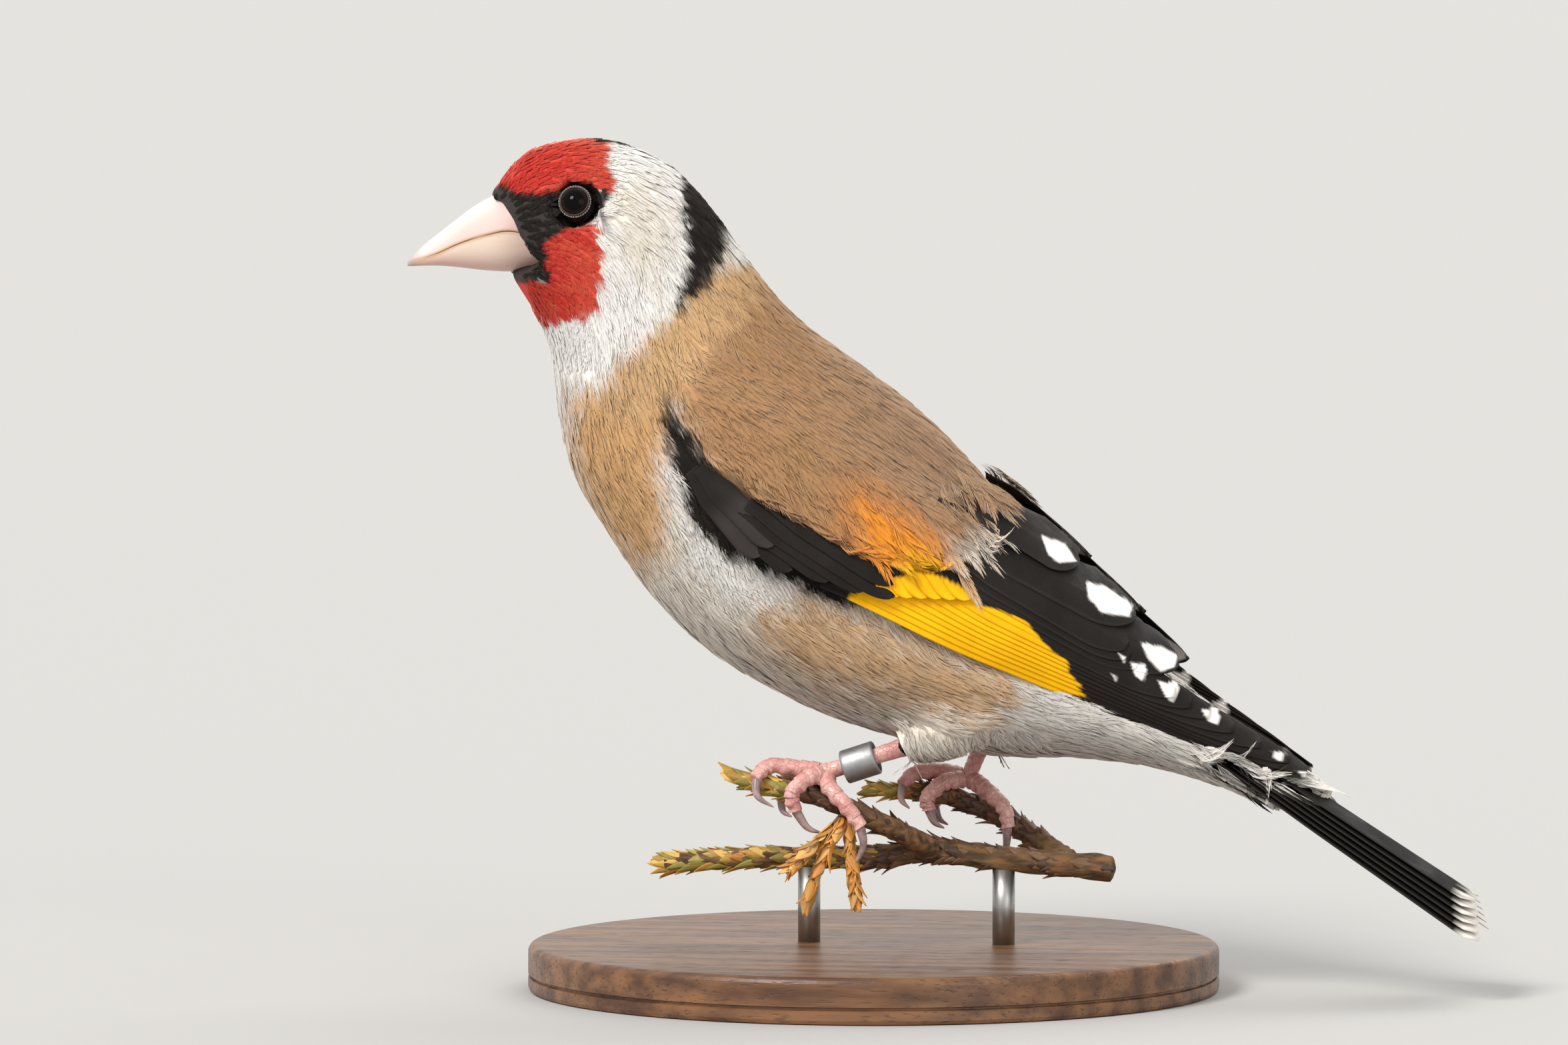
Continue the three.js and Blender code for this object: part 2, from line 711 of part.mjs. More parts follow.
// Toes with their claws, joined at the ball of the foot.
function foot(leg) {
  const ball = new THREE.SphereGeometry(FOOT_RADIUS, 8, 5).translate(...leg.joint.toArray());
  const digits = leg.toes.flatMap(({ centres, claw }) => [
    bar([leg.joint, ...centres], TOE_RADII, 6, 5),
    bar([centres[2], ...claw], CLAW_RADII, 5, 3),
  ]);
  return joined([solidOf(ball), ...digits]);
}

// The tuft of feathers round the leg, open round the tarsus.
function thigh(leg) {
  const axis = leg.hock.clone().sub(leg.joint).normalize();
  const far = leg.hock.clone().addScaledVector(axis, GAP);
  const bore = bar([leg.joint, far], [TARSUS_RADIUS + SCUTE_STEP + GAP, TARSUS_RADIUS + SCUTE_STEP + GAP], 12, 2);
  return largest(tuftSolid(leg).subtract(trunkRoom).subtract(bore));
}

// Leg ring: a plain thin tube that hangs loose on the left tarsus.
const RING_INNER = 1.42;
const RING_OUTER = 1.82;
const RING_LENGTH = 3.7;
const RING_START = 2.1;
const RING_DROP = 0.12;

function legRing(grow = 0) {
  const { hock, joint } = LEGS.left;
  const axis = hock.clone().sub(joint).normalize();
  const inner = RING_INNER - grow;
  const outer = RING_OUTER + grow;
  const top = RING_LENGTH + grow;
  const edge = 0.08;
  const profile = [
    [inner, -grow],
    [outer - edge, -grow],
    [outer, edge - grow],
    [outer, top - edge],
    [outer - edge, top],
    [inner, top],
    [inner, -grow],
  ].map(([r, h]) => new THREE.Vector2(r, h));
  const turn = new THREE.Quaternion().setFromUnitVectors(vec(0, 1, 0), axis);
  const start = joint.clone().addScaledVector(axis, RING_START).add(vec(0, 0, -RING_DROP));
  const tube = new THREE.LatheGeometry(profile, 24).applyQuaternion(turn).translate(...start.toArray());
  return solidOf(tube);
}

// Perch: a cut length of conifer branch with a side twig under each foot, and their scale leaves.
const BRANCH = {
  centres: [vec(-23, 0.6, 13.2), vec(-12, 0.3, 14.0), vec(0, 0, 14.2), vec(6, 0, 15.0), vec(14, 0.2, 14.2), vec(26, 0.8, 13.2)],
  radii: [1.3, 1.5, 1.75, 1.9, 1.9, 2.0],
};
const LEFT_TWIG = {
  centres: [vec(6.6, -0.6, 15.0), vec(3.2, -4.2, 17.4), vec(-1.2, -6.8, 19.7), vec(-4.4, -7.4, 21.2), vec(-8.6, -7.5, 22.1), vec(-13.0, -7.0, 23.0)],
  radii: [1.2, 1.15, 1.1, 1.05, 0.95, 0.6],
};
const RIGHT_TWIG = {
  centres: [vec(21, 1.2, 13.8), vec(16.8, 5.4, 16.0), vec(12.8, 7.2, 18.0), vec(9.0, 7.6, 19.6), vec(5.0, 7.4, 20.5), vec(-0.2, 6.8, 20.8)],
  radii: [1.3, 1.15, 1.05, 1.0, 0.9, 0.55],
};
const LEAFY = [
  { branch: LEFT_TWIG, from: 0.93, to: 1, count: 5 },
  { branch: RIGHT_TWIG, from: 0.95, to: 1, count: 4 },
  { branch: BRANCH, from: 0.02, to: 0.4, count: 12 },
];
const LEAF_LENGTH = 4.2;
const LEAF_WIDTH = 1.5;
const GOLDEN_ANGLE = 2.39996;

// A flat scale leaf that leaves its stem at a low angle and ends in a point.
function leaf(base, out, along) {
  const across = new THREE.Vector3().crossVectors(out, along).normalize();
  const top = [];
  const bottom = [];
  for (const u of [0, 0.5, 1]) {
    const half = (LEAF_WIDTH / 2) * [0.7, 1, 0.12][2 * u];
    const centre = base
      .clone()
      .addScaledVector(along, LEAF_LENGTH * u)
      .addScaledVector(out, LEAF_LENGTH * 0.32 * u ** 1.4);
    const thick = mix(0.4, 0.14, u);
    top.push([-1, 1].map((v) => centre.clone().addScaledVector(across, v * half).addScaledVector(out, thick)));
    bottom.push([-1, 1].map((v) => centre.clone().addScaledVector(across, v * half).addScaledVector(out, -thick)));
  }
  return plate(top, bottom);
}

function leavesOf({ branch, from, to, count }) {
  const path = new THREE.CatmullRomCurve3(branch.centres, false, "catmullrom", 0.5);
  const towardTip = branch === BRANCH ? -1 : 1;
  const leaves = [];
  for (let i = 0; i < count; i++) {
    const u = mix(from, to, (i + 0.5) / count);
    const along = path.getTangentAt(u).multiplyScalar(towardTip);
    const start = Math.abs(along.z) < 0.9 ? vec(0, 0, 1) : vec(0, 1, 0);
    const first = start.sub(along.clone().multiplyScalar(start.dot(along))).normalize();
    const out = first.applyAxisAngle(along, GOLDEN_ANGLE * i + 0.6);
    leaves.push(leaf(path.getPointAt(u).addScaledVector(out, 0.5), out, along));
  }
  return leaves;
}

function perch() {
  const stems = [BRANCH, LEFT_TWIG, RIGHT_TWIG].map(({ centres, radii }) => bar(centres, radii, 8, 11));
  return joined([...stems, ...LEAFY.flatMap(leavesOf)]);
}

// Stand: a round base and two rods with saddles for the branch.
const BASE_RADIUS = 37;
const BASE_HEIGHT = 5;
const BASE_EDGE = 0.8;
const ROD_RADIUS = 1.6;
const ROD_PLACES = { stand_rod_front: -7, stand_rod_rear: 14 };

function standBase() {
  const profile = [
    [0, 0],
    [BASE_RADIUS, 0],
    [BASE_RADIUS, BASE_HEIGHT - BASE_EDGE],
    [BASE_RADIUS - BASE_EDGE, BASE_HEIGHT],
    [0, BASE_HEIGHT],
  ].map(([r, z]) => new THREE.Vector2(r, z));
  return solidOf(new THREE.LatheGeometry(profile, 40).rotateX(Math.PI / 2));
}

function standRod(x, branchRoom) {
  const low = BASE_HEIGHT + GAP;
  const high = 14.4;
  const rod = new THREE.CylinderGeometry(ROD_RADIUS, ROD_RADIUS, high - low, 16)
    .rotateX(Math.PI / 2)
    .translate(x, 0.2, (low + high) / 2);
  return largest(solidOf(rod).subtract(branchRoom));
}

// Colours of the nodes' materials.
const COLOURS = {
  feather: "#b98a5e",
  face: "#b5261f",
  white: "#e9e2d6",
  black: "#17140f",
  wing: "#e9b71c",
  horn: "#d9b49c",
  iris: "#120c08",
  skin: "#cf9d8b",
  ring: "#a9adb0",
  leaf: "#9c7a34",
  base: "#3a2a20",
  rod: "#8d9093",
};

function named(name, solid, color, roughness = 0.8, metalness = 0) {
  const { vertProperties, triVerts } = solid.getMesh();
  const geometry = new THREE.BufferGeometry();
  geometry.setAttribute("position", new THREE.BufferAttribute(new Float32Array(vertProperties), 3));
  geometry.setIndex(new THREE.BufferAttribute(new Uint32Array(triVerts), 1));
  geometry.computeVertexNormals();
  const mesh = new THREE.Mesh(geometry, new THREE.MeshStandardMaterial({ color, roughness, metalness }));
  mesh.name = name;
  return mesh;
}

const goldfinch = new THREE.Group();
const add = (...args) => goldfinch.add(named(...args));

add("head", head(), COLOURS.face);
add("neck", trunk.length(HEAD_NECK + CUT, NECK_TORSO - CUT, 0.5), COLOURS.feather);
add("torso", trunk.length(NECK_TORSO + CUT, TORSO_RUMP - CUT, 0.5), COLOURS.white);
add("rump", largest(trunk.length(TORSO_RUMP + CUT, LAST_RUMP, 0.5).subtract(tailRoom())), COLOURS.white);
add("tail", tail(), COLOURS.black, 0.6);
add("bill_upper", billUpper(), COLOURS.horn, 0.4);
add("bill_lower", billLower(), COLOURS.horn, 0.4);

for (const [name, side] of [["left", LEFT], ["right", RIGHT]]) {
  const leg = LEGS[name];
  add(`eye_${name}`, eye(side, 0), COLOURS.iris, 0.05);
  add(`wing_${name}`, wing(side), COLOURS.wing, 0.6);
  add(`shoulder_${name}`, largest(shoulderPad(side, 0).subtract(trunkRoom)), COLOURS.feather);
  add(`thigh_${name}`, thigh(leg), COLOURS.white);
  add(`tarsus_${name}`, tarsus(leg), COLOURS.skin, 0.5);
}

const stems = perch();
const grownStem = ({ centres, radii }) => bar(centres, radii.map((r) => r + GAP), 8, 11);
const stemRoom = joined([BRANCH, LEFT_TWIG, RIGHT_TWIG].map(grownStem));
add("foot_left", largest(foot(LEGS.left).subtract(stemRoom).subtract(legRing(GAP))), COLOURS.skin, 0.5);
add("foot_right", largest(foot(LEGS.right).subtract(stemRoom)), COLOURS.skin, 0.5);
add("leg_ring", legRing(), COLOURS.ring, 0.35, 1);
add("perch_branch", largest(stems), COLOURS.leaf);
add("stand_base", standBase(), COLOURS.base, 0.5);
for (const [name, x] of Object.entries(ROD_PLACES)) add(name, standRod(x, stemRoom), COLOURS.rod, 0.3, 1);

export default goldfinch;
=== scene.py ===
"""A still, life-size goldfinch on a cut twig and a plain stand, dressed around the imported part."""

import logging
import math
from dataclasses import dataclass
from enum import Enum
from typing import Callable, Iterable, Sequence

import bmesh
import bpy
import numpy as np
from mathutils import Matrix, Vector
from mathutils.bvhtree import BVHTree


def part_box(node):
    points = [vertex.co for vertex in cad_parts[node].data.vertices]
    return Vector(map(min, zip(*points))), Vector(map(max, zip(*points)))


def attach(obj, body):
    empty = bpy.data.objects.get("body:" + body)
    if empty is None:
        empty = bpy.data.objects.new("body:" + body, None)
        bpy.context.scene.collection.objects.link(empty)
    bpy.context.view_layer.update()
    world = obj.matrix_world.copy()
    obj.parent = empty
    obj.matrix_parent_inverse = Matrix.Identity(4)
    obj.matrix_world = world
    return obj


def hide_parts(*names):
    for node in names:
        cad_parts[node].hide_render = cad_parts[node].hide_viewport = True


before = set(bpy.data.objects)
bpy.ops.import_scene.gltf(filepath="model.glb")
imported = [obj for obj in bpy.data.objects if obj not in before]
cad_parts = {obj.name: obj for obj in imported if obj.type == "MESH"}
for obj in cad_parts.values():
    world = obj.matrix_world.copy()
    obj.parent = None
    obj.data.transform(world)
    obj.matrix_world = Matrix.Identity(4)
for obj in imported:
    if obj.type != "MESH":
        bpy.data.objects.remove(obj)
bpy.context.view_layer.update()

log = logging.getLogger("goldfinch")
MM = 0.001
SEED = 71
ROOT = "root"
COAT_UV = "OFBake"
COAT_COLOUR = "coat_colour"
PATCH = 0.003
PIECE_LIMIT = 190_000

Array = np.ndarray
Mesh, Object, Material = bpy.types.Mesh, bpy.types.Object, bpy.types.Material
Pair = tuple[float, float]
Row = tuple[float, float, float, float, float, float]

# Trunk and wing surfaces: top x, z, bottom x, z, half width and shift, in millimetres, as in the solids.
TRUNK: list[Row] = [
    (-41.3, 85.2, -40.9, 78.4, 3.0, 0), (-40.2, 86.8, -39.6, 76.7, 4.2, 0),
    (-37.6, 89.7, -38.5, 74.9, 5.7, 0.2), (-33.0, 91.0, -36.7, 72.1, 7.8, 0.2),
    (-27.9, 91.2, -35.4, 69.9, 9.3, -0.4), (-21.3, 88.4, -34.7, 67.0, 9.9, -1.0),
    (-16.5, 83.2, -34.1, 63.3, 10.3, -1.4), (-13.0, 78.2, -33.4, 58.9, 11.2, -1.2),
    (-8.2, 72.4, -31.9, 54.1, 12.8, -0.6), (-1.4, 67.4, -29.0, 49.2, 14.4, 0),
    (4.5, 63.0, -25.0, 42.9, 15.4, 0), (9.6, 58.2, -19.8, 37.4, 15.8, 0),
    (13.6, 53.6, -13.9, 33.5, 15.6, 0), (18.0, 48.2, -5.8, 29.5, 14.8, 0),
    (23.0, 43.0, 3.0, 26.8, 13.2, 0), (28.3, 38.0, 13.3, 25.0, 11.0, 0),
    (33.9, 33.2, 21.4, 25.0, 8.6, 0), (39.9, 28.9, 29.0, 24.2, 6.4, 0),
    (45.8, 24.6, 36.5, 22.2, 4.6, 0), (50.4, 21.2, 42.5, 19.8, 3.2, 0),
]
WING_SHELL: list[Row] = [
    (-21.3, 88.4, -34.7, 67.0, 11.0, 0), (-13.0, 78.4, -33.4, 58.9, 12.6, 0),
    (-8.0, 72.6, -31.9, 54.1, 14.4, 0), (-1.2, 67.8, -29.0, 49.2, 16.4, 0),
    (4.8, 63.5, -25.0, 42.9, 17.8, 0), (9.9, 58.9, -19.8, 37.4, 18.3, 0),
    (14.4, 54.9, -12.0, 34.0, 17.8, 0), (19.7, 50.3, 0.0, 30.0, 16.0, 0),
    (24.7, 45.4, 10.0, 28.6, 13.4, 0), (29.7, 40.5, 18.0, 27.2, 10.8, 0),
    (34.7, 35.8, 25.5, 26.0, 8.4, 0), (39.7, 31.4, 32.5, 24.4, 6.4, 0),
    (44.2, 27.7, 39.0, 22.6, 5.0, 0), (48.5, 24.4, 45.0, 20.8, 4.0, 0),
]
# The drawing's line of sight: its azimuth past the left side, and its elevation.
SIN_A, COS_A = math.sin(math.radians(8)), math.cos(math.radians(8))
SIN_E, COS_E = math.sin(math.radians(4)), math.cos(math.radians(4))
SIGHT_STEPS = 6
TAIL_FALL = math.radians(32.5)
ASTERN = np.array([math.cos(TAIL_FALL), 0.0, -math.sin(TAIL_FALL)])
FLESH = ("head", "neck", "torso", "rump", "shoulder_left", "shoulder_right", "thigh_left", "thigh_right")


class Side(Enum):
    """The bird's two sides, by the sign of Y."""

    LEFT = -1
    RIGHT = 1


def linear(code: str) -> Array:
    """Linear colour of a hex code such as c79a6b."""
    raw = np.array([int(code[i : i + 2], 16) / 255 for i in (0, 2, 4)])
    return np.where(raw <= 0.04045, raw / 12.92, ((raw + 0.055) / 1.055) ** 2.4)


def smooth(t: Array | float) -> Array:
    """Smooth step of t between 0 and 1."""
    c = np.clip(t, 0, 1)
    return c * c * (3 - 2 * c)


def mixed(colour: Array, share: Array, other: Array) -> Array:
    """Colours blended toward another one by the share of it at each point."""
    return colour * (1 - share[..., None]) + other * share[..., None]


def unit(v: Array) -> Array:
    """Vectors scaled to length one along the last axis."""
    return v / np.maximum(np.linalg.norm(v, axis=-1, keepdims=True), 1e-12)


def spline(rows: Array, q: Array) -> Array:
    """Uniform Catmull-Rom curve through rows, read at places q counted in rows."""
    last = len(rows) - 1
    q = np.clip(np.asarray(q, float), 0, last)
    i = np.minimum(q.astype(int), last - 1)
    w = (q - i)[..., None]
    before, after = 2 * rows[0] - rows[1], 2 * rows[-1] - rows[-2]
    padded = np.vstack([before, rows, after])
    p0, p1, p2, p3 = (padded[i + k] for k in range(4))
    t0, t1 = (p2 - p0) / 2, (p3 - p1) / 2
    return (
        (2 * p1 - 2 * p2 + t0 + t1) * w**3 + (-3 * p1 + 3 * p2 - 2 * t0 - t1) * w**2 + t0 * w + p1
    )


class Sections:
    """A tube-like surface given by oval sections from the face to the tail, in millimetres."""

    def __init__(self, rows: Sequence[Row]) -> None:
        """Keeps the sections.

        Args:
            rows: Top x, z, bottom x, z, half width and shift of each section.
        """
        self.rows = np.array(rows, float)
        self.last = len(rows) - 1

    def at(self, q: Array) -> tuple[Array, ...]:
        """Centre, up direction, half height, half width and shift at places q."""
        r = spline(self.rows, q)
        zero = np.zeros_like(r[..., 0])
        top = np.stack([r[..., 0], zero, r[..., 1]], -1)
        bottom = np.stack([r[..., 2], zero, r[..., 3]], -1)
        half = np.linalg.norm(top - bottom, axis=-1) / 2
        return (top + bottom) / 2, unit(top - bottom), half, r[..., 4], r[..., 5]

    def point(self, q: Array, angle: Array, side: float, lift: Array) -> Array:
        """Surface points at an angle from the top on one side, raised by lift."""
        centre, up, half, width, shift = self.at(q)
        rise = (half + lift) * np.cos(angle) + shift * np.sin(angle) ** 2
        out = side * (width + lift) * np.sin(angle)
        return centre + up * rise[..., None] + np.stack([0 * out, out, 0 * out], -1)

    def normal(self, q: Array, angle: Array, side: float) -> Array:
        """Outward directions of the surface at an angle from the top on one side."""
        on = self.point(q, angle, side, 0)
        ahead, around = self.point(q + 0.2, angle, side, 0) - on, self.point(q, angle + 0.15, side, 0) - on
        found = unit(np.cross(ahead, around))
        return found * np.sign(found[..., 1:2] * side + 1e-9)

    def locate(self, x: Array, z: Array) -> tuple[Array, Array]:
        """Section place and angle of the surface points at x and z in the side view."""
        low, high = np.zeros_like(x), np.full_like(x, float(self.last))
        for _ in range(32):
            mid = (low + high) / 2
            centre, up, *_rest = self.at(mid)
            ahead = (x - centre[..., 0]) * up[..., 2] - (z - centre[..., 2]) * up[..., 0] > 0
            low, high = np.where(ahead, mid, low), np.where(ahead, high, mid)
        centre, up, half, _width, _shift = self.at(low)
        rise = (x - centre[..., 0]) * up[..., 0] + (z - centre[..., 2]) * up[..., 2]
        return low, np.arccos(np.clip(rise / half, -0.998, 0.998))

    def seen(self, pairs: Array, side: float, lift: Array) -> Array:
        """Surface points that are seen at drawn pairs, along the drawing's line of sight."""
        out = np.full(pairs.shape[:-1], float(self.rows[self.last // 2, 4]))
        found = np.zeros(pairs.shape[:-1] + (3,))
        for _ in range(SIGHT_STEPS):
            x = (pairs[..., 0] + out * SIN_A) / COS_A
            z = (pairs[..., 1] + x * SIN_A * SIN_E + out * COS_A * SIN_E) / COS_E
            q, angle = self.locate(x, z)
            found = self.point(q, angle, side, lift)
            out = np.abs(found[..., 1])
        return found


def drawn(points: Array) -> Array:
    """Where points of either side, in millimetres, are seen in the drawing of the left side."""
    x, out, z = points[..., 0], np.abs(points[..., 1]), points[..., 2]
    return np.stack([x * COS_A - out * SIN_A, z * COS_E - out * COS_A * SIN_E - x * SIN_A * SIN_E], -1)


trunk = Sections(TRUNK)
wing_shell = Sections(WING_SHELL)


def wander(points: Array, scale: float, seed: int) -> Array:
    """Smooth seeded noise of about -1 to 1 at points in millimetres, with features of a given scale."""
    rng = np.random.default_rng(seed)
    total = np.zeros(points.shape[:-1])
    for _ in range(7):
        direction = unit(rng.normal(size=3)) * (2 * math.pi / scale) * rng.uniform(0.6, 1.7)
        total += np.sin(points @ direction + rng.uniform(0, 6.28))
    return total / 2.6


@dataclass(frozen=True)
class Patch:
    """A patch of colour outlined in the drawing of the left side, with a soft or ragged edge."""

    outline: Sequence[Pair]
    colour: str
    edge: float = 0.35
    ragged: float = 0.35
    strength: float = 1.0

    def cover(self, pairs: Array, points: Array, seed: int) -> Array:
        """How much of the patch covers each point, from 0 to 1.

        Args:
            pairs: Drawn places of the points.
            points: The points, in millimetres.
            seed: Seed of the ragged edge.
        """
        corners = np.array(self.outline, float)
        a, b = corners, np.roll(corners, -1, axis=0)
        p = pairs[:, None, :]
        along = b - a
        t = np.clip(((p - a) * along).sum(-1) / np.maximum((along**2).sum(-1), 1e-9), 0, 1)
        distance = np.linalg.norm(p - (a + t[..., None] * along), axis=-1).min(1)
        crosses = (a[:, 1] > p[..., 1]) != (b[:, 1] > p[..., 1])
        rise = np.where(np.abs(along[:, 1]) < 1e-9, 1e-9, along[:, 1])
        at_x = a[:, 0] + (p[..., 1] - a[:, 1]) * along[:, 0] / rise
        inside = (crosses & (p[..., 0] < at_x)).sum(1) % 2 == 1
        signed = np.where(inside, distance, -distance) + self.ragged * wander(points, 1.6, seed)
        return self.strength * smooth(0.5 + signed / (2 * self.edge))


CRIMSON, ORANGE_RED, BLACK, WHITE = "cb2e25", "e0553a", "1b1715", "fbf7f2"
CREAM, TAN, BROWN, GREY_BROWN = "f3e8d8", "d5a877", "ab7d55", "a88262"
BUFF, FLANK, ORANGE, YELLOW = "dca467", "d39c5c", "f8942c", "ffbe05"

# From the lowest layer to the highest, over a ground of cream.
BODY_PATCHES: list[Patch] = [
    Patch([(-60, 30), (-60, 75), (-31.2, 72), (-31.4, 47), (-24, 36), (-30, 30)], WHITE, 1.5, 0.6),
    Patch([(-32.4, 64), (-25, 65.5), (-21, 62), (-20.4, 54), (-22, 47), (-25, 44.6), (-29, 48.5),
           (-33, 57)], BUFF, 2.8, 0.9, 0.95),
    Patch([(-12, 42.5), (-6, 42.0), (6, 37.4), (20, 31.6), (20, 27.4), (4, 30.6),
           (-6, 33), (-12, 37)], FLANK, 2.8, 1.0, 0.8),
    Patch([(-21, 62), (-17.8, 52.5), (-13.6, 46.6), (-8, 44.2), (-9, 41.0), (-15, 41.0), (-20.2, 46),
           (-22.4, 55)], WHITE, 1.6, 0.5, 0.85),
    Patch([(-16.6, 31), (-6, 27), (4, 25), (4, 27.6), (-6, 31), (-15, 36)], "e0d9d2", 1.6, 0.8, 0.6),
    Patch([(-11.6, 78.6), (-13.3, 77.8), (-16.6, 76.6), (-20, 73.75), (-22.5, 70.6), (-27.6, 66.0),
           (-28.4, 61), (-24, 60.4), (-20.6, 62.6), (-14, 50), (4, 43), (18, 44), (24, 44),
           (20, 56), (-4, 76)], TAN, 0.8, 0.5),
    Patch([(-9.8, 77.4), (-13.6, 72.6), (-17.4, 67.4), (-20.8, 63.2), (-18, 55), (-12, 50), (-4, 44),
           (16, 43), (26, 42), (22, 56), (-2, 76)], BROWN, 2.0, 1.2, 0.92),
    Patch([(-3, 73), (-6, 66), (-2, 59), (6, 49), (15, 46), (24, 46), (16, 60)], GREY_BROWN, 2.4, 1.2, 0.8),
    Patch([(-21.9, 63.4), (-18.6, 57.9), (-16.6, 54.8), (-13.2, 52.2), (-10.4, 50.2), (-7.7, 49.0),
           (-4.9, 46.4), (-2.2, 45.2), (2.2, 44.4), (2.6, 41.0), (-3, 41.2), (-9.7, 44.0),
           (-14.9, 45.8), (-18.9, 49.2), (-20.6, 54), (-22.4, 60)], BLACK, 0.4, 0.35),
    Patch([(-3.4, 54.0), (0.6, 53.4), (4.8, 50.4), (8.2, 46.9), (9.8, 44.6), (9.8, 41), (1.2, 41.6),
           (0.2, 44.8), (-2.4, 46.4), (-4.4, 49.4)], "d98a48", 2.4, 0.5, 0.7),
    Patch([(-1.6, 52.0), (1.8, 50.8), (4.8, 48.6), (7.4, 46.2), (9.6, 44.2), (9.8, 41), (1.2, 41.6),
           (0.4, 44.8), (-1.4, 47.2)], ORANGE, 1.5, 0.4),
    Patch([(4.0, 46.6), (7.4, 45.6), (9.8, 43.4), (9.6, 41.2), (2.0, 41.6), (2.6, 44.2)], YELLOW, 1.2,
          0.4, 0.8),
    Patch([(7.6, 47.0), (11.6, 49.0), (15.2, 49.4), (15.4, 46.4), (11.4, 44.2), (9.6, 43.6)], "eadccb", 1.1,
          0.4, 0.9),
    Patch([(20, 62), (29.5, 47.5), (46, 33), (60, 22), (56, 14), (40, 14), (20, 22), (12, 26),
           (16, 33), (30, 34), (24, 44)], "efeae2", 1.4, 0.8, 0.95),
]
HEAD_PATCHES: list[Patch] = [
    Patch([(-46, 95), (-16.4, 95), (-16.2, 80), (-19.6, 74.5), (-26.8, 67.2), (-29, 64.4), (-44, 62)],
          WHITE, 0.6, 0.4),
    Patch([(-28.2, 85.5), (-22.5, 86), (-21.4, 79), (-23.5, 74.5), (-27.6, 78.5)], "e9dcc4", 1.8, 1.0, 0.6),
    Patch([(-20.6, 90.5), (-16.6, 86.6), (-14.2, 83.4), (-15.9, 81.2), (-15.7, 78.6), (-18.7, 74.0),
           (-21.6, 71.6), (-20.1, 76), (-19.8, 80), (-20.5, 84), (-20.6, 87)], BLACK, 0.35, 0.35),
    Patch([(-16, 82.8), (-12.4, 81.4), (-11.8, 77.4), (-14.8, 77.8), (-15.8, 79.5)], WHITE, 0.5, 0.4),
    Patch([(-44, 86), (-43.4, 91), (-38, 95), (-28.2, 95), (-28.2, 90.0), (-28.4, 88.3), (-27.6, 86.5),
           (-27.5, 85.2), (-29.4, 85.0), (-31.6, 85.6), (-33.8, 84.7), (-36.0, 84.1), (-38.2, 84.4),
           (-39.6, 85.2), (-41.6, 84.0)], CRIMSON, 0.28, 0.3),
    Patch([(-41.5, 84.6), (-39.9, 86.4), (-38.2, 85.3), (-36.0, 84.9), (-33.8, 85.4), (-32.6, 86.3),
           (-31.6, 86.6), (-30.4, 86.2), (-29.4, 85.6), (-28.2, 85.4), (-28.0, 84.8), (-28.9, 83.0),
           (-30.2, 81.8), (-31.6, 81.1), (-33.3, 80.4), (-34.4, 79.6), (-34.0, 77.7), (-34.2, 76.3),
           (-36.0, 76.4), (-39.9, 76.9), (-41.5, 79)], BLACK, 0.22, 0.2),
    Patch([(-34.9, 79.9), (-33.3, 80.9), (-31.6, 81.3), (-30.3, 81.6), (-29.2, 81.0), (-28.7, 78.6),
           (-28.7, 75.5), (-29.4, 73.3), (-30.3, 71.6), (-32, 71.6), (-34.7, 70.7), (-36.6, 72.4),
           (-40, 76.2), (-38.6, 76.3), (-36.4, 76.0), (-35.0, 75.6), (-34.6, 77.7)], CRIMSON, 0.25, 0.25),
    Patch([(-41, 77.2), (-36.6, 77.4), (-34.4, 76.8), (-34.6, 75.6), (-37.6, 75.6), (-40.2, 76.2)], BLACK,
          0.22, 0.2),
]
WARMTH = 0.55  # share of orange in the red behind the eye
CROWN_TILT = 0.15  # how far the crown's stripe leans away from the left side, for each unit of height
CROWN_STRIPE = 2.6
CROWN_SHIFT = 1.8  # and how much further where the white reaches up behind the red, between these places
CROWN_SHIFT_FRONT, CROWN_SHIFT_REAR, CROWN_SHIFT_RUN = -27.5, -19.0, 2.5
CROWN_FRONT, CROWN_REAR, CROWN_LOW, CROWN_EDGE = -31.5, -15.4, 76.5, 0.8
HEAD_CENTRE_Z = 80.0
HEAD_REAR = Patch([(-60, 100), (-14, 100), (-9.6, 79), (-17.6, 75), (-25, 67.4), (-31, 60), (-60, 60)],
                  WHITE, 0.5, 0.3)


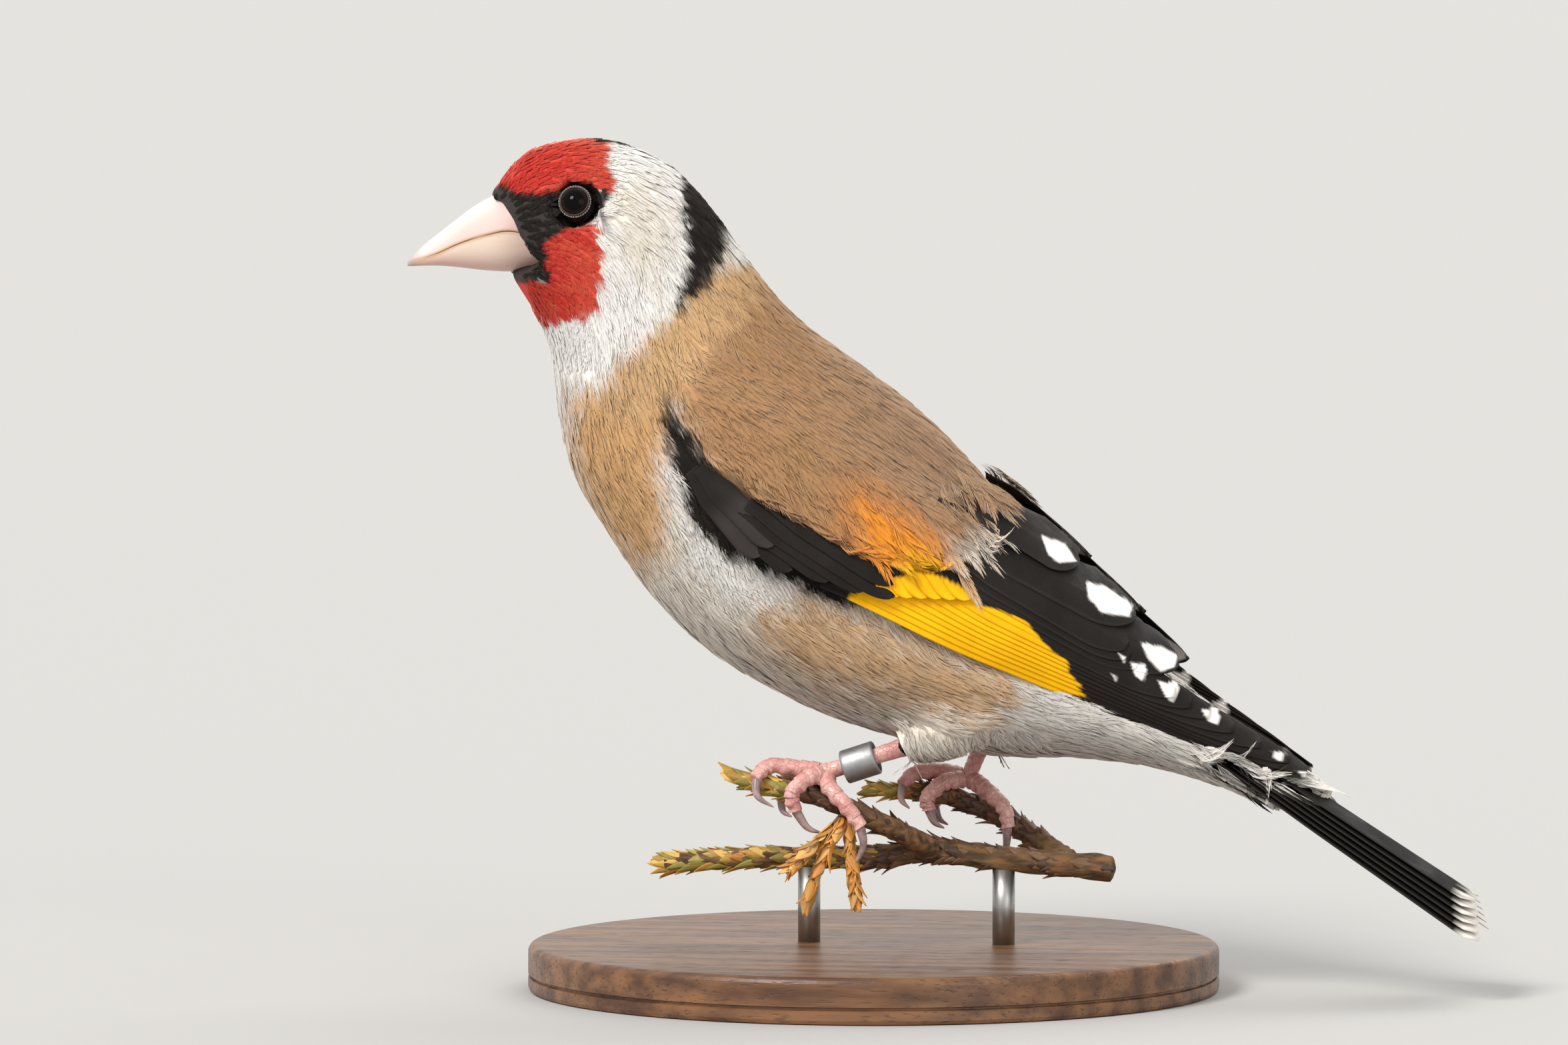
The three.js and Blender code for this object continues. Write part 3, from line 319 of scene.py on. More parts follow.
def plumage_colour(points: Array, seed: int = SEED) -> Array:
    """Colour of skin and coat at points in millimetres, the same for both sides.

    Args:
        points: Places on the bird, one row each.
        seed: Seed of the ragged edges.

    Returns:
        Linear colours, one row each.
    """
    pairs = drawn(points)
    colours = np.tile(linear(CREAM), (len(points), 1))

    def lay(patches: Sequence[Patch], start: int, limit: Array) -> None:
        nonlocal colours
        for i, patch in enumerate(patches):
            share = patch.cover(pairs, points, seed + start + i) * limit
            colours = mixed(colours, share, linear(patch.colour))

    everywhere = np.ones(len(points))
    lay(BODY_PATCHES, 0, everywhere)
    headed = HEAD_REAR.cover(pairs, points, seed + 90)
    lay(HEAD_PATCHES, 40, headed)
    across = points[:, 1] - CROWN_TILT * (points[:, 2] - HEAD_CENTRE_Z)
    behind = smooth((points[:, 0] - CROWN_SHIFT_FRONT) / CROWN_SHIFT_RUN)
    across -= CROWN_SHIFT * behind * smooth((CROWN_SHIFT_REAR - points[:, 0]) / CROWN_SHIFT_RUN)
    stripe = CROWN_STRIPE + 0.5 * wander(points, 1.6, seed + 70) - np.abs(across)
    along = smooth((points[:, 0] - CROWN_FRONT) / CROWN_EDGE)
    along = along * smooth((CROWN_REAR - points[:, 0]) / CROWN_EDGE)
    high = smooth(points[:, 2] - CROWN_LOW)
    colours = mixed(colours, smooth(0.5 + stripe / CROWN_EDGE) * along * high, linear(BLACK))
    red = (colours[:, 0] > 3.2 * colours[:, 1]) & (colours[:, 0] > 0.2)
    warm = smooth(0.5 + (pairs[:, 0] + 31.0) / 7.0 + 0.35 * wander(points, 2.2, seed + 71))
    return np.where(red[:, None], mixed(colours, WARMTH * warm, linear(ORANGE_RED)), colours)


class Value:
    """A shader socket with the arithmetic of Python expressions."""

    def __init__(self, shader: "Shader", socket: bpy.types.NodeSocket) -> None:
        """Wraps a socket of a shader's node tree."""
        self.shader, self.socket = shader, socket

    def _math(self, operation: str, *values: "Value | float") -> "Value":
        return self.shader.node("ShaderNodeMath", {"operation": operation}, dict(enumerate(values)))

    def __add__(self, other: "Value | float") -> "Value":
        """Sum."""
        return self._math("ADD", self, other)

    def __sub__(self, other: "Value | float") -> "Value":
        """Difference."""
        return self._math("SUBTRACT", self, other)

    def __mul__(self, other: "Value | float") -> "Value":
        """Product."""
        return self._math("MULTIPLY", self, other)

    def __radd__(self, other: float) -> "Value":
        """Sum with a number on the left."""
        return self._math("ADD", other, self)

    def __rsub__(self, other: float) -> "Value":
        """Difference from a number."""
        return self._math("SUBTRACT", other, self)

    def __rmul__(self, other: float) -> "Value":
        """Product with a number on the left."""
        return self._math("MULTIPLY", other, self)

    def sine(self) -> "Value":
        """Sine."""
        return self._math("SINE", self)

    def size(self) -> "Value":
        """Absolute value."""
        return self._math("ABSOLUTE", self)

    def step(self, low: float, high: float) -> "Value":
        """Smooth step from low to high."""
        settings = {"interpolation_type": "SMOOTHSTEP"}
        inputs = {"Value": self, "From Min": low, "From Max": high, "To Min": 0.0, "To Max": 1.0}
        return self.shader.node("ShaderNodeMapRange", settings, inputs)


class Shader:
    """A node material that is built by expressions around one Principled shader."""

    def __init__(self, name: str, **fixed: float | tuple) -> None:
        """Makes the material.

        Args:
            name: The material's name.
            fixed: Shader sockets that are the same all over, with _ for a space in their names.
        """
        self.material = bpy.data.materials.new(name)
        self.material.use_nodes = True
        self.tree = self.material.node_tree
        self.surface = self.tree.nodes["Principled BSDF"]
        for key, value in fixed.items():
            self.surface.inputs[key.replace("_", " ")].default_value = value

    def node(self, kind: str, settings: dict | None = None, inputs: dict | None = None,
             output: int | str = 0) -> Value:
        """Makes a node.

        Args:
            kind: The node's type.
            settings: Properties that are set first.
            inputs: Values or links by socket name or number.
            output: The output that is returned.

        Returns:
            The chosen output as a value.
        """
        made = self.tree.nodes.new(kind)
        for key, value in (settings or {}).items():
            setattr(made, key, value)
        for key, value in (inputs or {}).items():
            if isinstance(value, Value):
                self.tree.links.new(value.socket, made.inputs[key])
            else:
                made.inputs[key].default_value = value
        return Value(self, made.outputs[output])

    def place(self, stretch: Sequence[float] | None = None) -> Value:
        """Object coordinates in metres, multiplied by stretch if it is given."""
        made = self.node("ShaderNodeTexCoord", output="Object")
        if stretch is None:
            return made
        return self.node("ShaderNodeMapping", None, {"Vector": made, "Scale": stretch})

    def split(self, vector: Value, axis: str) -> Value:
        """One axis of a vector."""
        return self.node("ShaderNodeSeparateXYZ", None, {0: vector}, axis)

    def attribute(self, name: str, output: str = "Color") -> Value:
        """A mesh attribute."""
        return self.node("ShaderNodeAttribute", {"attribute_name": name}, None, output)

    def noise(self, scale: float, detail: float = 3.0, vector: Value | None = None) -> Value:
        """Noise of about 0 to 1 over Object coordinates, or over another vector."""
        inputs = {"Vector": vector or self.place(), "Scale": scale, "Detail": detail}
        return self.node("ShaderNodeTexNoise", None, inputs)

    def blend(self, factor: Value | float, first: Value | Sequence[float],
              second: Value | Sequence[float], how: str = "MIX") -> Value:
        """A mix of two colours."""
        def opaque(c: Value | Sequence[float]) -> Value | tuple:
            return c if isinstance(c, Value) else (*c[:3], 1.0)

        inputs = {"Factor": factor, 6: opaque(first), 7: opaque(second)}
        return self.node("ShaderNodeMix", {"data_type": "RGBA", "blend_type": how}, inputs, 2)

    def set(self, **links: Value) -> "Shader":
        """Feeds sockets of the Principled shader."""
        for key, value in links.items():
            self.tree.links.new(value.socket, self.surface.inputs[key.replace("_", " ")])
        return self

    def bump(self, height: Value, distance: float, strength: float = 1.0) -> "Shader":
        """Feeds a height, in metres of distance, to the shader's normal."""
        inputs = {"Height": height, "Distance": distance, "Strength": strength}
        return self.set(Normal=self.node("ShaderNodeBump", None, inputs))


@dataclass(frozen=True)
class PlumeFinish:
    """Soft body plumage, coloured by the coat's own attribute."""

    name: str = "plumage"
    roughness: float = 0.75
    translucence: float = 0.35

    def material(self) -> Material:
        """The finished material."""
        shader = Shader(self.name, Roughness=self.roughness, Specular_IOR_Level=0.15,
                        Subsurface_Weight=self.translucence, Subsurface_Radius=(1.0, 0.75, 0.6),
                        Subsurface_Scale=0.0007)
        mottle = shader.noise(700.0, 2.0).step(0.25, 0.75)
        colour = shader.blend(0.1 * mottle, shader.attribute(COAT_COLOUR), (0.45, 0.38, 0.33), "MULTIPLY")
        return shader.set(Base_Color=colour).material


@dataclass(frozen=True)
class SkinFinish:
    """The skin under the plumage, darker than the coat, with short down."""

    name: str = "skin_down"

    def material(self) -> Material:
        """The finished material."""
        shader = Shader(self.name, Roughness=0.9)
        down = shader.noise(2600.0, 4.0)
        colour = shader.blend(0.12, shader.attribute(COAT_COLOUR), (0.12, 0.1, 0.09))
        return shader.set(Base_Color=colour).bump(down, 0.0003, 0.6).material


@dataclass(frozen=True)
class VaneFinish:
    """Closed feather vanes: coloured by attribute, with fine barbs on both sides of the shaft."""

    name: str = "vanes"
    barb: float = 0.00016
    slant: float = 0.75

    def material(self) -> Material:
        """The finished material."""
        shader = Shader(self.name, Specular_IOR_Level=0.16)
        vane = shader.node("ShaderNodeUVMap", {"uv_map": "vane"})
        along, across = shader.split(vane, "X"), shader.split(vane, "Y")
        ridges = ((along - across.size() * self.slant) * (2 * math.pi / self.barb)).sine()
        colour = shader.attribute(COAT_COLOUR)
        streak = shader.noise(260.0, 2.0).step(0.3, 0.7)
        shaded = shader.blend(0.22 * streak, colour, (0.45, 0.4, 0.36), "MULTIPLY")
        shader.set(Base_Color=shaded, Roughness=0.55 + 0.2 * streak)
        return shader.bump(ridges, 0.00003, 0.45).material


@dataclass(frozen=True)
class HornFinish:
    """Bill horn, coloured by its own attribute, with a fine grain."""

    name: str = "bill_horn"

    def material(self) -> Material:
        """The finished material."""
        shader = Shader(self.name, Subsurface_Weight=0.12, Subsurface_Scale=0.0012, Specular_IOR_Level=0.4)
        grain = shader.noise(1500.0, 4.0, shader.place((0.25, 1.0, 1.0)))
        colour = shader.blend(0.22 * grain, shader.attribute(COAT_COLOUR), (0.5, 0.36, 0.32))
        return shader.set(Base_Color=colour, Roughness=0.26 + 0.2 * grain).bump(grain, 0.00006, 0.4).material


@dataclass(frozen=True)
class EyeFinish:
    """A wet dark eye: a black pupil in a deep brown iris, near-black again toward the lids."""

    name: str
    centre: tuple[float, float, float]
    out: tuple[float, float, float]
    pupil: float = 1.15
    iris: float = 1.46

    def material(self) -> Material:
        """The finished material."""
        shader = Shader(self.name, Roughness=0.04, Specular_IOR_Level=0.07)
        moved = shader.node("ShaderNodeVectorMath", {"operation": "SUBTRACT"},
                            {0: shader.place(), 1: self.centre})
        crossed = shader.node("ShaderNodeVectorMath", {"operation": "CROSS_PRODUCT"},
                              {0: moved, 1: self.out})
        away = shader.node("ShaderNodeVectorMath", {"operation": "LENGTH"}, {0: crossed}, "Value") * (1 / MM)
        ring = away.step(self.pupil - 0.15, self.pupil + 0.1)
        fleck = shader.noise(3000.0, 2.0)
        iris = shader.blend(fleck, linear("120b08"), linear("22150e"))
        iris = shader.blend(away.step(self.iris, self.iris + 0.14), iris, (0.006, 0.005, 0.005))
        return shader.set(Base_Color=shader.blend(ring, (0.002, 0.002, 0.002), iris)).material


@dataclass(frozen=True)
class LegFinish:
    """Flesh-pink scaled leg skin."""

    name: str = "leg_skin"
    pale: str = "dfb3ab"
    deep: str = "bd8580"

    def material(self) -> Material:
        """The finished material."""
        shader = Shader(self.name, Roughness=0.42, Subsurface_Weight=0.1, Subsurface_Scale=0.0008)
        scale = shader.node("ShaderNodeTexVoronoi", {"feature": "DISTANCE_TO_EDGE"},
                            {"Vector": shader.place(), "Scale": 1500.0})
        plate = scale.step(0.0, 0.09)
        cloud = shader.noise(420.0, 4.0).step(0.3, 0.7)
        base = shader.blend(cloud, linear(self.pale), linear(self.deep))
        groove = shader.blend(1.0 - plate, base, linear("8a5548"))
        return shader.set(Base_Color=shader.blend(0.28, base, groove), Roughness=0.5 - 0.14 * plate).bump(
            plate + 0.3 * cloud, 0.00006, 0.6).material


@dataclass(frozen=True)
class ClawFinish:
    """Dusky horn, paler at its root."""

    name: str = "claw_horn"

    def material(self) -> Material:
        """The finished material."""
        shader = Shader(self.name, Roughness=0.3, Specular_IOR_Level=0.5)
        cloud = shader.noise(900.0, 3.0)
        return shader.set(Base_Color=shader.blend(cloud.step(0.3, 0.7), linear("7c6769"), linear("a58d8b")),
                          Roughness=0.24 + 0.2 * cloud).material


@dataclass(frozen=True)
class MetalFinish:
    """Plain metal with fine scratches and a mottled wear."""

    name: str
    colour: str
    roughness: float
    stretch: tuple[float, float, float] = (1.0, 1.0, 1.0)

    def material(self) -> Material:
        """The finished material."""
        shader = Shader(self.name, Metallic=1.0)
        scratch = shader.noise(2400.0, 5.0, shader.place(self.stretch))
        worn = shader.noise(500.0, 3.0).step(0.35, 0.7)
        base = linear(self.colour)
        return shader.set(Base_Color=shader.blend(0.5 * worn, base, base * 0.62),
                          Roughness=self.roughness + 0.18 * scratch + 0.1 * worn).bump(
            scratch, 0.00003, 0.5).material


@dataclass(frozen=True)
class BarkFinish:
    """Thin conifer bark with fissures along the stem."""

    name: str = "bark"

    def material(self) -> Material:
        """The finished material."""
        shader = Shader(self.name, Roughness=0.85)
        crack = shader.noise(1100.0, 8.0, shader.place((0.3, 1.0, 1.0)))
        patch = shader.noise(220.0, 3.0).step(0.35, 0.65)
        base = shader.blend(crack.step(0.35, 0.65), linear("3a2617"), linear("7a5433"))
        green = shader.blend(0.35 * patch, base, linear("6d5f3a"))
        return shader.set(Base_Color=green).bump(crack, 0.0004, 0.9).material


@dataclass(frozen=True)
class LeafFinish:
    """Dry scale leaves, coloured by their own attribute."""

    name: str = "scale_leaf"

    def material(self) -> Material:
        """The finished material."""
        shader = Shader(self.name, Roughness=0.55, Subsurface_Weight=0.08, Subsurface_Scale=0.0006)
        grain = shader.noise(1500.0, 4.0)
        colour = shader.attribute(COAT_COLOUR)
        return shader.set(Base_Color=shader.blend(0.3 * grain, colour, (0.35, 0.28, 0.2), "MULTIPLY")).bump(
            grain, 0.00012, 0.6).material


@dataclass(frozen=True)
class TurnedWoodFinish:
    """Dark satin hardwood with straight grain."""

    name: str = "turned_wood"

    def material(self) -> Material:
        """The finished material."""
        shader = Shader(self.name, Coat_Roughness=0.2)
        vector = shader.place((0.09, 1.0, 1.0))
        grain = shader.noise(420.0, 6.0, vector)
        pores = shader.noise(3200.0, 2.0, vector).step(0.55, 0.7)
        base = shader.blend(grain.step(0.3, 0.7), linear("4a2f1f"), linear("7d5738"))
        return shader.set(Base_Color=shader.blend(0.5 * pores, base, linear("2c1a10")),
                          Roughness=0.36 + 0.2 * pores).bump(grain - 0.4 * pores, 0.0001, 0.5).material


@dataclass(frozen=True)
class StudioFinish:
    """The plain pale floor."""

    name: str = "studio_floor"

    def material(self) -> Material:
        """The finished material."""
        return Shader(self.name, Base_Color=(0.42, 0.42, 0.42, 1.0), Roughness=0.9).material


def object_of(mesh: Mesh, name: str, material: Material) -> Object:
    """A mesh as an object of the scene, with its material."""
    mesh.name = name
    made = bpy.data.objects.new(name, mesh)
    bpy.context.scene.collection.objects.link(made)
    made.data.materials.clear()
    made.data.materials.append(material)
    return made


def finish_piece(piece: Object, slot: str, *nodes: str) -> Object:
    """Rides a piece on the part and hides the nodes that it replaces.

    Args:
        piece: The new piece.
        slot: Not used.
        nodes: Nodes that it replaces.

    Returns:
        The piece.
    """
    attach(piece, ROOT)
    if nodes:
        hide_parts(*nodes)
    log.info("%s: %d faces", piece.name, len(piece.data.polygons))
    return piece


def mesh_from(points: Array, faces: Array) -> Mesh:
    """A smooth mesh from arrays of points in millimetres and faces of equal size."""
    mesh = bpy.data.meshes.new("piece")
    count, size = faces.shape
    mesh.vertices.add(len(points))
    mesh.vertices.foreach_set("co", (points * MM).astype(np.float32).ravel())
    mesh.loops.add(count * size)
    mesh.loops.foreach_set("vertex_index", faces.astype(np.int32).ravel())
    mesh.polygons.add(count)
    mesh.polygons.foreach_set("loop_start", np.arange(0, count * size, size, dtype=np.int32))
    mesh.polygons.foreach_set("use_smooth", np.ones(count, bool))
    mesh.update(calc_edges=True)
    return mesh


def paint(mesh: Mesh, colours: Array) -> None:
    """Stores linear colours, one for each vertex, as the coat's attribute."""
    layer = mesh.color_attributes.new(COAT_COLOUR, "FLOAT_COLOR", "POINT")
    rgba = np.ones((len(mesh.vertices), 4), np.float32)
    rgba[:, :3] = np.clip(colours, 0, 1)
    layer.data.foreach_set("color", rgba.ravel())


def lay_uv(mesh: Mesh, name: str, uv: Array) -> None:
    """Stores a UV map given one pair for each vertex."""
    layer = mesh.uv_layers.new(name=name)
    index = np.empty(len(mesh.loops), np.int32)
    mesh.loops.foreach_get("vertex_index", index)
    layer.data.foreach_set("uv", uv[index].astype(np.float32).ravel())


def piece_from(name: str, shape: tuple[Array, Array], material: Material, slot: str,
               *nodes: str, colours: Array | None = None) -> Object:
    """A finished piece from arrays.

    Args:
        name: The piece's name.
        shape: Points in millimetres, and faces.
        material: Its material.
        slot: The record's material slot.
        nodes: Nodes that it replaces.
        colours: Linear colours, one for each point.

    Returns:
        The piece.
    """
    mesh = mesh_from(*shape)
    if colours is not None:
        paint(mesh, colours)
    return finish_piece(object_of(mesh, name, material), slot, *nodes)


def shape_of(*nodes: str) -> bmesh.types.BMesh:
    """Copies of CAD nodes as one editable shape."""
    shape = bmesh.new()
    for node in nodes:
        shape.from_mesh(bpy.data.objects[node].data)
    return shape


def mesh_of(shape: bmesh.types.BMesh) -> Mesh:
    """An editable shape as a mesh. The shape is freed."""
    mesh = bpy.data.meshes.new("piece")
    shape.to_mesh(mesh)
    shape.free()
    return mesh


def remeshed(nodes: Iterable[str], voxel: float, rounds: int) -> Mesh:
    """A closed smooth mesh round copies of CAD nodes, whose loose triangles are merged first.

    Args:
        nodes: The nodes to take in.
        voxel: Voxel size in metres.
        rounds: Rounds of smoothing.

    Returns:
        The mesh.
    """
    shape = shape_of(*nodes)
    bmesh.ops.remove_doubles(shape, verts=shape.verts, dist=1e-6)
    piece = bpy.data.objects.new("flesh", mesh_of(shape))
    bpy.context.scene.collection.objects.link(piece)
    net = piece.modifiers.new("net", "REMESH")
    net.mode, net.voxel_size, net.use_smooth_shade = "VOXEL", voxel, True
    soft = piece.modifiers.new("soft", "SMOOTH")
    soft.factor, soft.iterations = 0.5, rounds
    graph = bpy.context.evaluated_depsgraph_get()
    mesh = bpy.data.meshes.new_from_object(piece.evaluated_get(graph))
    bpy.data.objects.remove(piece)
    return mesh


def vertex_arrays(mesh: Mesh) -> tuple[Array, Array]:
    """Places in metres and normals of a mesh's vertices."""
    points = np.empty(len(mesh.vertices) * 3, np.float32)
    mesh.vertices.foreach_get("co", points)
    normals = np.empty(len(mesh.vertices) * 3, np.float32)
    mesh.vertex_normals.foreach_get("vector", normals)
    return points.reshape(-1, 3).astype(float), normals.reshape(-1, 3).astype(float)


@dataclass(frozen=True)
class Tract:
    """How feathers are in one region of the body, in millimetres, and their pairs of barbs."""

    spacing: float
    length: float
    width: float
    rise: float
    barbs: int


FACE = Tract(0.52, 1.8, 0.6, 0.22, 5)
CROWN = Tract(0.7, 3.0, 0.85, 0.28, 8)
CHEEK = Tract(0.72, 3.7, 1.0, 0.3, 10)
BREAST = Tract(1.0, 6.0, 1.8, 0.5, 13)
BACK = Tract(0.98, 5.4, 1.8, 0.42, 13)
COVERT = Tract(0.72, 2.8, 1.4, 0.28, 10)
REAR = Tract(0.95, 6.2, 1.5, 0.45, 13)
THIGH = Tract(0.72, 2.4, 0.9, 0.3, 10)
TRACTS = (FACE, CROWN, CHEEK, BREAST, BACK, COVERT, REAR, THIGH)


@dataclass(frozen=True)
class Fringe:
    """Roots on a surface beside the skin, where body feathers lie over flight feathers."""

    surface: Sections
    outline: Patch
    lift: float


FRINGES = (
    Fringe(wing_shell, Patch([(12.0, 54.4), (11.8, 53.2), (11.4, 50.9), (9.4, 48.0), (6.6, 45.9), (2.6, 46.2),
                              (2.0, 49.0), (5.0, 53.0), (8.0, 55.8)], WHITE, 0.1, 0.0), 0.65),
    Fringe(trunk, Patch([(35.5, 33.0), (39.4, 30.0), (45.0, 26.0), (45.4, 24.6), (40.0, 26.4)],
                        WHITE, 0.1, 0.0), 0.2),
    Fringe(trunk, Patch([(33.0, 27.2), (36.7, 25.8), (41.8, 24.1), (44.4, 23.2), (44.4, 21.4), (41.8, 21.8),
                         (36.7, 23.4), (33.0, 25.8)], WHITE, 0.1, 0.0), 0.75),
)
HORN = Patch([(-44.0, 84.7), (-41.6, 84.9), (-39.9, 84.2), (-38.7, 82.2), (-38.0, 80.4), (-36.6, 78.6),
              (-35.5, 77.5), (-37.6, 76.4), (-40.0, 76.2), (-44.0, 76.6)], WHITE, 0.45, 0.0)


class Coat:
    """Body plumage: a skin over the flesh nodes and small feathers of barbs rooted on it."""

    voxel = 0.42 * MM
    smoothing = 14
    # How deep the skin lies in the solids, with the places and runs along X of its changes.
    depth, face_depth, face_x, face_run, bill_x, bill_run = 0.75, 0.28, -36.0, 16.0, -41.2, 2.0
    horn_squeeze = 0.6
    # Where feathers are rooted along X, and what clears the eye and the fringe on the back's middle.
    front_x, rear_x = -40.9, 43.5
    eye_place, eye_clear, eye_out = np.array([-30.35, 84.9]), 1.72, 5.0
    fringe_out = 4.0
    # Places along X with limits to the way that the skin may face there.
    stern_x, stern_limit = 36.0, 0.3
    vent_x, vent_limit = 38.5, 0.1
    brow_x, brow_limit, inward_limit = -37.0, -0.75, -0.3
    fringe_limit = -0.35
    fringe_tries = 1500
    ridge_drop, ridge_out = 0.35, 8.0
    # How near the folded wing lies over a place that it hides, nearer toward its tip, and over its feather.
    wing_near, tip_near, tip_x, wing_reach = 4.0, 2.0, 30.0, 3.5
    tries = 150_000
    variants = 4
    barb_width = 0.15
    barb_thickness = 0.045
    bill_root, bill_middle = np.array([-42.0, 0.0, 80.5]), np.array([-40.0, 0.0, 81.0])

    def __init__(self) -> None:
        """Builds the skin's mesh and its look-up trees."""
        self.rng = np.random.default_rng(SEED)
        self.mesh = remeshed(FLESH, self.voxel, self.smoothing)
        points, normals = vertex_arrays(self.mesh)
        points /= MM
        x = points[:, 0].copy()
        depth = self.face_depth + (self.depth - self.face_depth) * smooth((x - self.face_x) / self.face_run)
        points -= normals * (depth * smooth((x - self.bill_x) / self.bill_run))[:, None]
        points[:, 1] *= 1 - self.horn_squeeze * HORN.cover(drawn(points), points, SEED)
        self.mesh.vertices.foreach_set("co", (points * MM).astype(np.float32).ravel())
        self.mesh.update()
        self.points = points
        self.tree = BVHTree.FromPolygons(
            [Vector(p) for p in points], [tuple(f.vertices) for f in self.mesh.polygons])
        self.wings = self._tree_of("wing_left", "wing_right")

    @staticmethod
    def _tree_of(*nodes: str) -> BVHTree:
        """A look-up tree over CAD nodes, in millimetres."""
        shape = shape_of(*nodes)
        bmesh.ops.scale(shape, vec=(1 / MM,) * 3, verts=shape.verts)
        tree = BVHTree.FromBMesh(shape)
        shape.free()
        return tree

    def skin(self) -> Object:
        """The skin as a piece, with the coat's markings."""
        paint(self.mesh, plumage_colour(self.points))
        lay_uv(self.mesh, COAT_UV, self.unwrap(self.points))
        return object_of(self.mesh, "skin", SkinFinish().material())

    @staticmethod
    def unwrap(points: Array) -> Array:
        """Place of points on a flat unwrap of the trunk: along it, and round it from the belly."""
        q, _angle = trunk.locate(points[:, 0], points[:, 2])
        centre, up, *_rest = trunk.at(q)
        rise = ((points - centre) * up).sum(-1)
        around = np.arctan2(points[:, 1], rise) / (2 * math.pi) + 0.5
        return np.stack([0.02 + 0.96 * q / trunk.last, 0.02 + 0.96 * around], -1)

    @staticmethod
    def regions(points: Array) -> Array:
        """Index of the tract that each point, in millimetres, belongs to."""
        # The limits are in millimetres along X and Z, and out from the middle.
        x, out, z = points[:, 0], np.abs(points[:, 1]), points[:, 2]
        pair = drawn(points)
        head = (x < -27) & (z > 68)
        leading = (pair[:, 0] > -22) & (pair[:, 0] < 3) & (pair[:, 1] < 57 - 0.75 * (pair[:, 0] + 17))
        cases = [
            (head & ((x < -29.5) | (z > 84)), FACE), (head, CHEEK),
            ((x < -13) & (z > 84), CROWN), ((x < -13) & (z > 72), CHEEK),
            ((z < 29) & (out > 4.2) & (x < 18), THIGH), (x > 22, REAR),
            (leading & (x < 2) & (out > 11) & (z > 42) & (z < 58), COVERT), (z > 52 + 0.6 * x, BACK),
        ]
        return np.select([c for c, _t in cases], [TRACTS.index(t) for _c, t in cases], TRACTS.index(BREAST))

    @classmethod
    def flow(cls, points: Array, normals: Array) -> Array:
        """Direction in which feathers lie: back from the bill, then along the trunk."""
        x, out, z = points[:, 0], np.abs(points[:, 1]), points[:, 2]
        side = np.sign(points[:, 1] + 1e-9)
        q, angle = trunk.locate(x, z)
        there = np.minimum(q + 0.15, trunk.last)
        along = unit(trunk.point(there, angle, side, 0) - trunk.point(there - 0.15, angle, side, 0))
        reach = np.linalg.norm(points - cls.bill_middle, axis=1)
        lie = mixed(along, 1 - smooth((reach - 7) / 12), unit(points - cls.bill_root))
        thigh = ((z < 30) & (out > 4.2) & (x < 18))[:, None]
        down = np.stack([-0.5 + 0 * side, 0.1 * side, -1.1 + 0 * side], -1)
        lie = np.where(thigh, unit(lie + down), lie)
        shoulder = ((z > 40) & (x < 12) & (out > 8))[:, None]
        lie = np.where(shoulder, lie + np.array([0.0, 0.0, -0.22]), lie)
        lie = mixed(lie, smooth((x - 30) / 8), ASTERN)
        return unit(lie - normals * (lie * normals).sum(-1, keepdims=True))

    def roots(self) -> tuple[Array, Array, Array, Array]:
        """Spreads feathers over the skin, each tract at its own spacing.

        Returns:
            Places in millimetres, normals, lie and the tract's index of each feather.
        """
        self.mesh.calc_loop_triangles()
        tri = np.empty(len(self.mesh.loop_triangles) * 3, np.int32)
        self.mesh.loop_triangles.foreach_get("vertices", tri)
        a, b, c = self.points[tri.reshape(-1, 3)].transpose(1, 0, 2)
        area = np.linalg.norm(np.cross(b - a, c - a), axis=1)
        chosen = self.rng.choice(len(area), self.tries, p=area / area.sum())
        u, v = self.rng.random((2, self.tries))
        flip = u + v > 1
        u, v = np.where(flip, 1 - u, u)[:, None], np.where(flip, 1 - v, v)[:, None]
        places = a[chosen] + u * (b - a)[chosen] + v * (c - a)[chosen]
        eye = np.linalg.norm(places[:, [0, 2]] - self.eye_place, axis=1)
        places = places[~((eye < self.eye_clear) & (np.abs(places[:, 1]) > self.eye_out))]
        places = places[(places[:, 0] > self.front_x) & (places[:, 0] < self.rear_x)]
        places = places[HORN.cover(drawn(places), places, SEED) < 0.5]
        kept = self._spread(places, self.regions(places))
        places, kind = places[kept], self.regions(places)[kept]
        normals = np.array([self.tree.find_nearest(Vector(p))[1] for p in places])
        lie = self.flow(places, normals)
        shown = np.array([not self._hidden(*row) for row in zip(places, normals, lie)])
        x, y = places[:, 0], places[:, 1]
        shown &= ~((x > self.stern_x) & (normals @ ASTERN > self.stern_limit))
        shown &= ~((x > self.vent_x) & (normals[:, 2] < self.vent_limit))
        inward = (normals[:, 0] < self.brow_limit) | (normals[:, 1] * y < self.inward_limit)
        shown &= ~((x < self.brow_x) & inward)
        fringed = FRINGES[0].outline.cover(drawn(places), places, SEED) >= 0.5
        shown &= ~fringed | (np.abs(y) < self.fringe_out)
        body = (places[shown], normals[shown], lie[shown], kind[shown])
        return tuple(np.concatenate(both) for both in zip(body, self._fringes()))

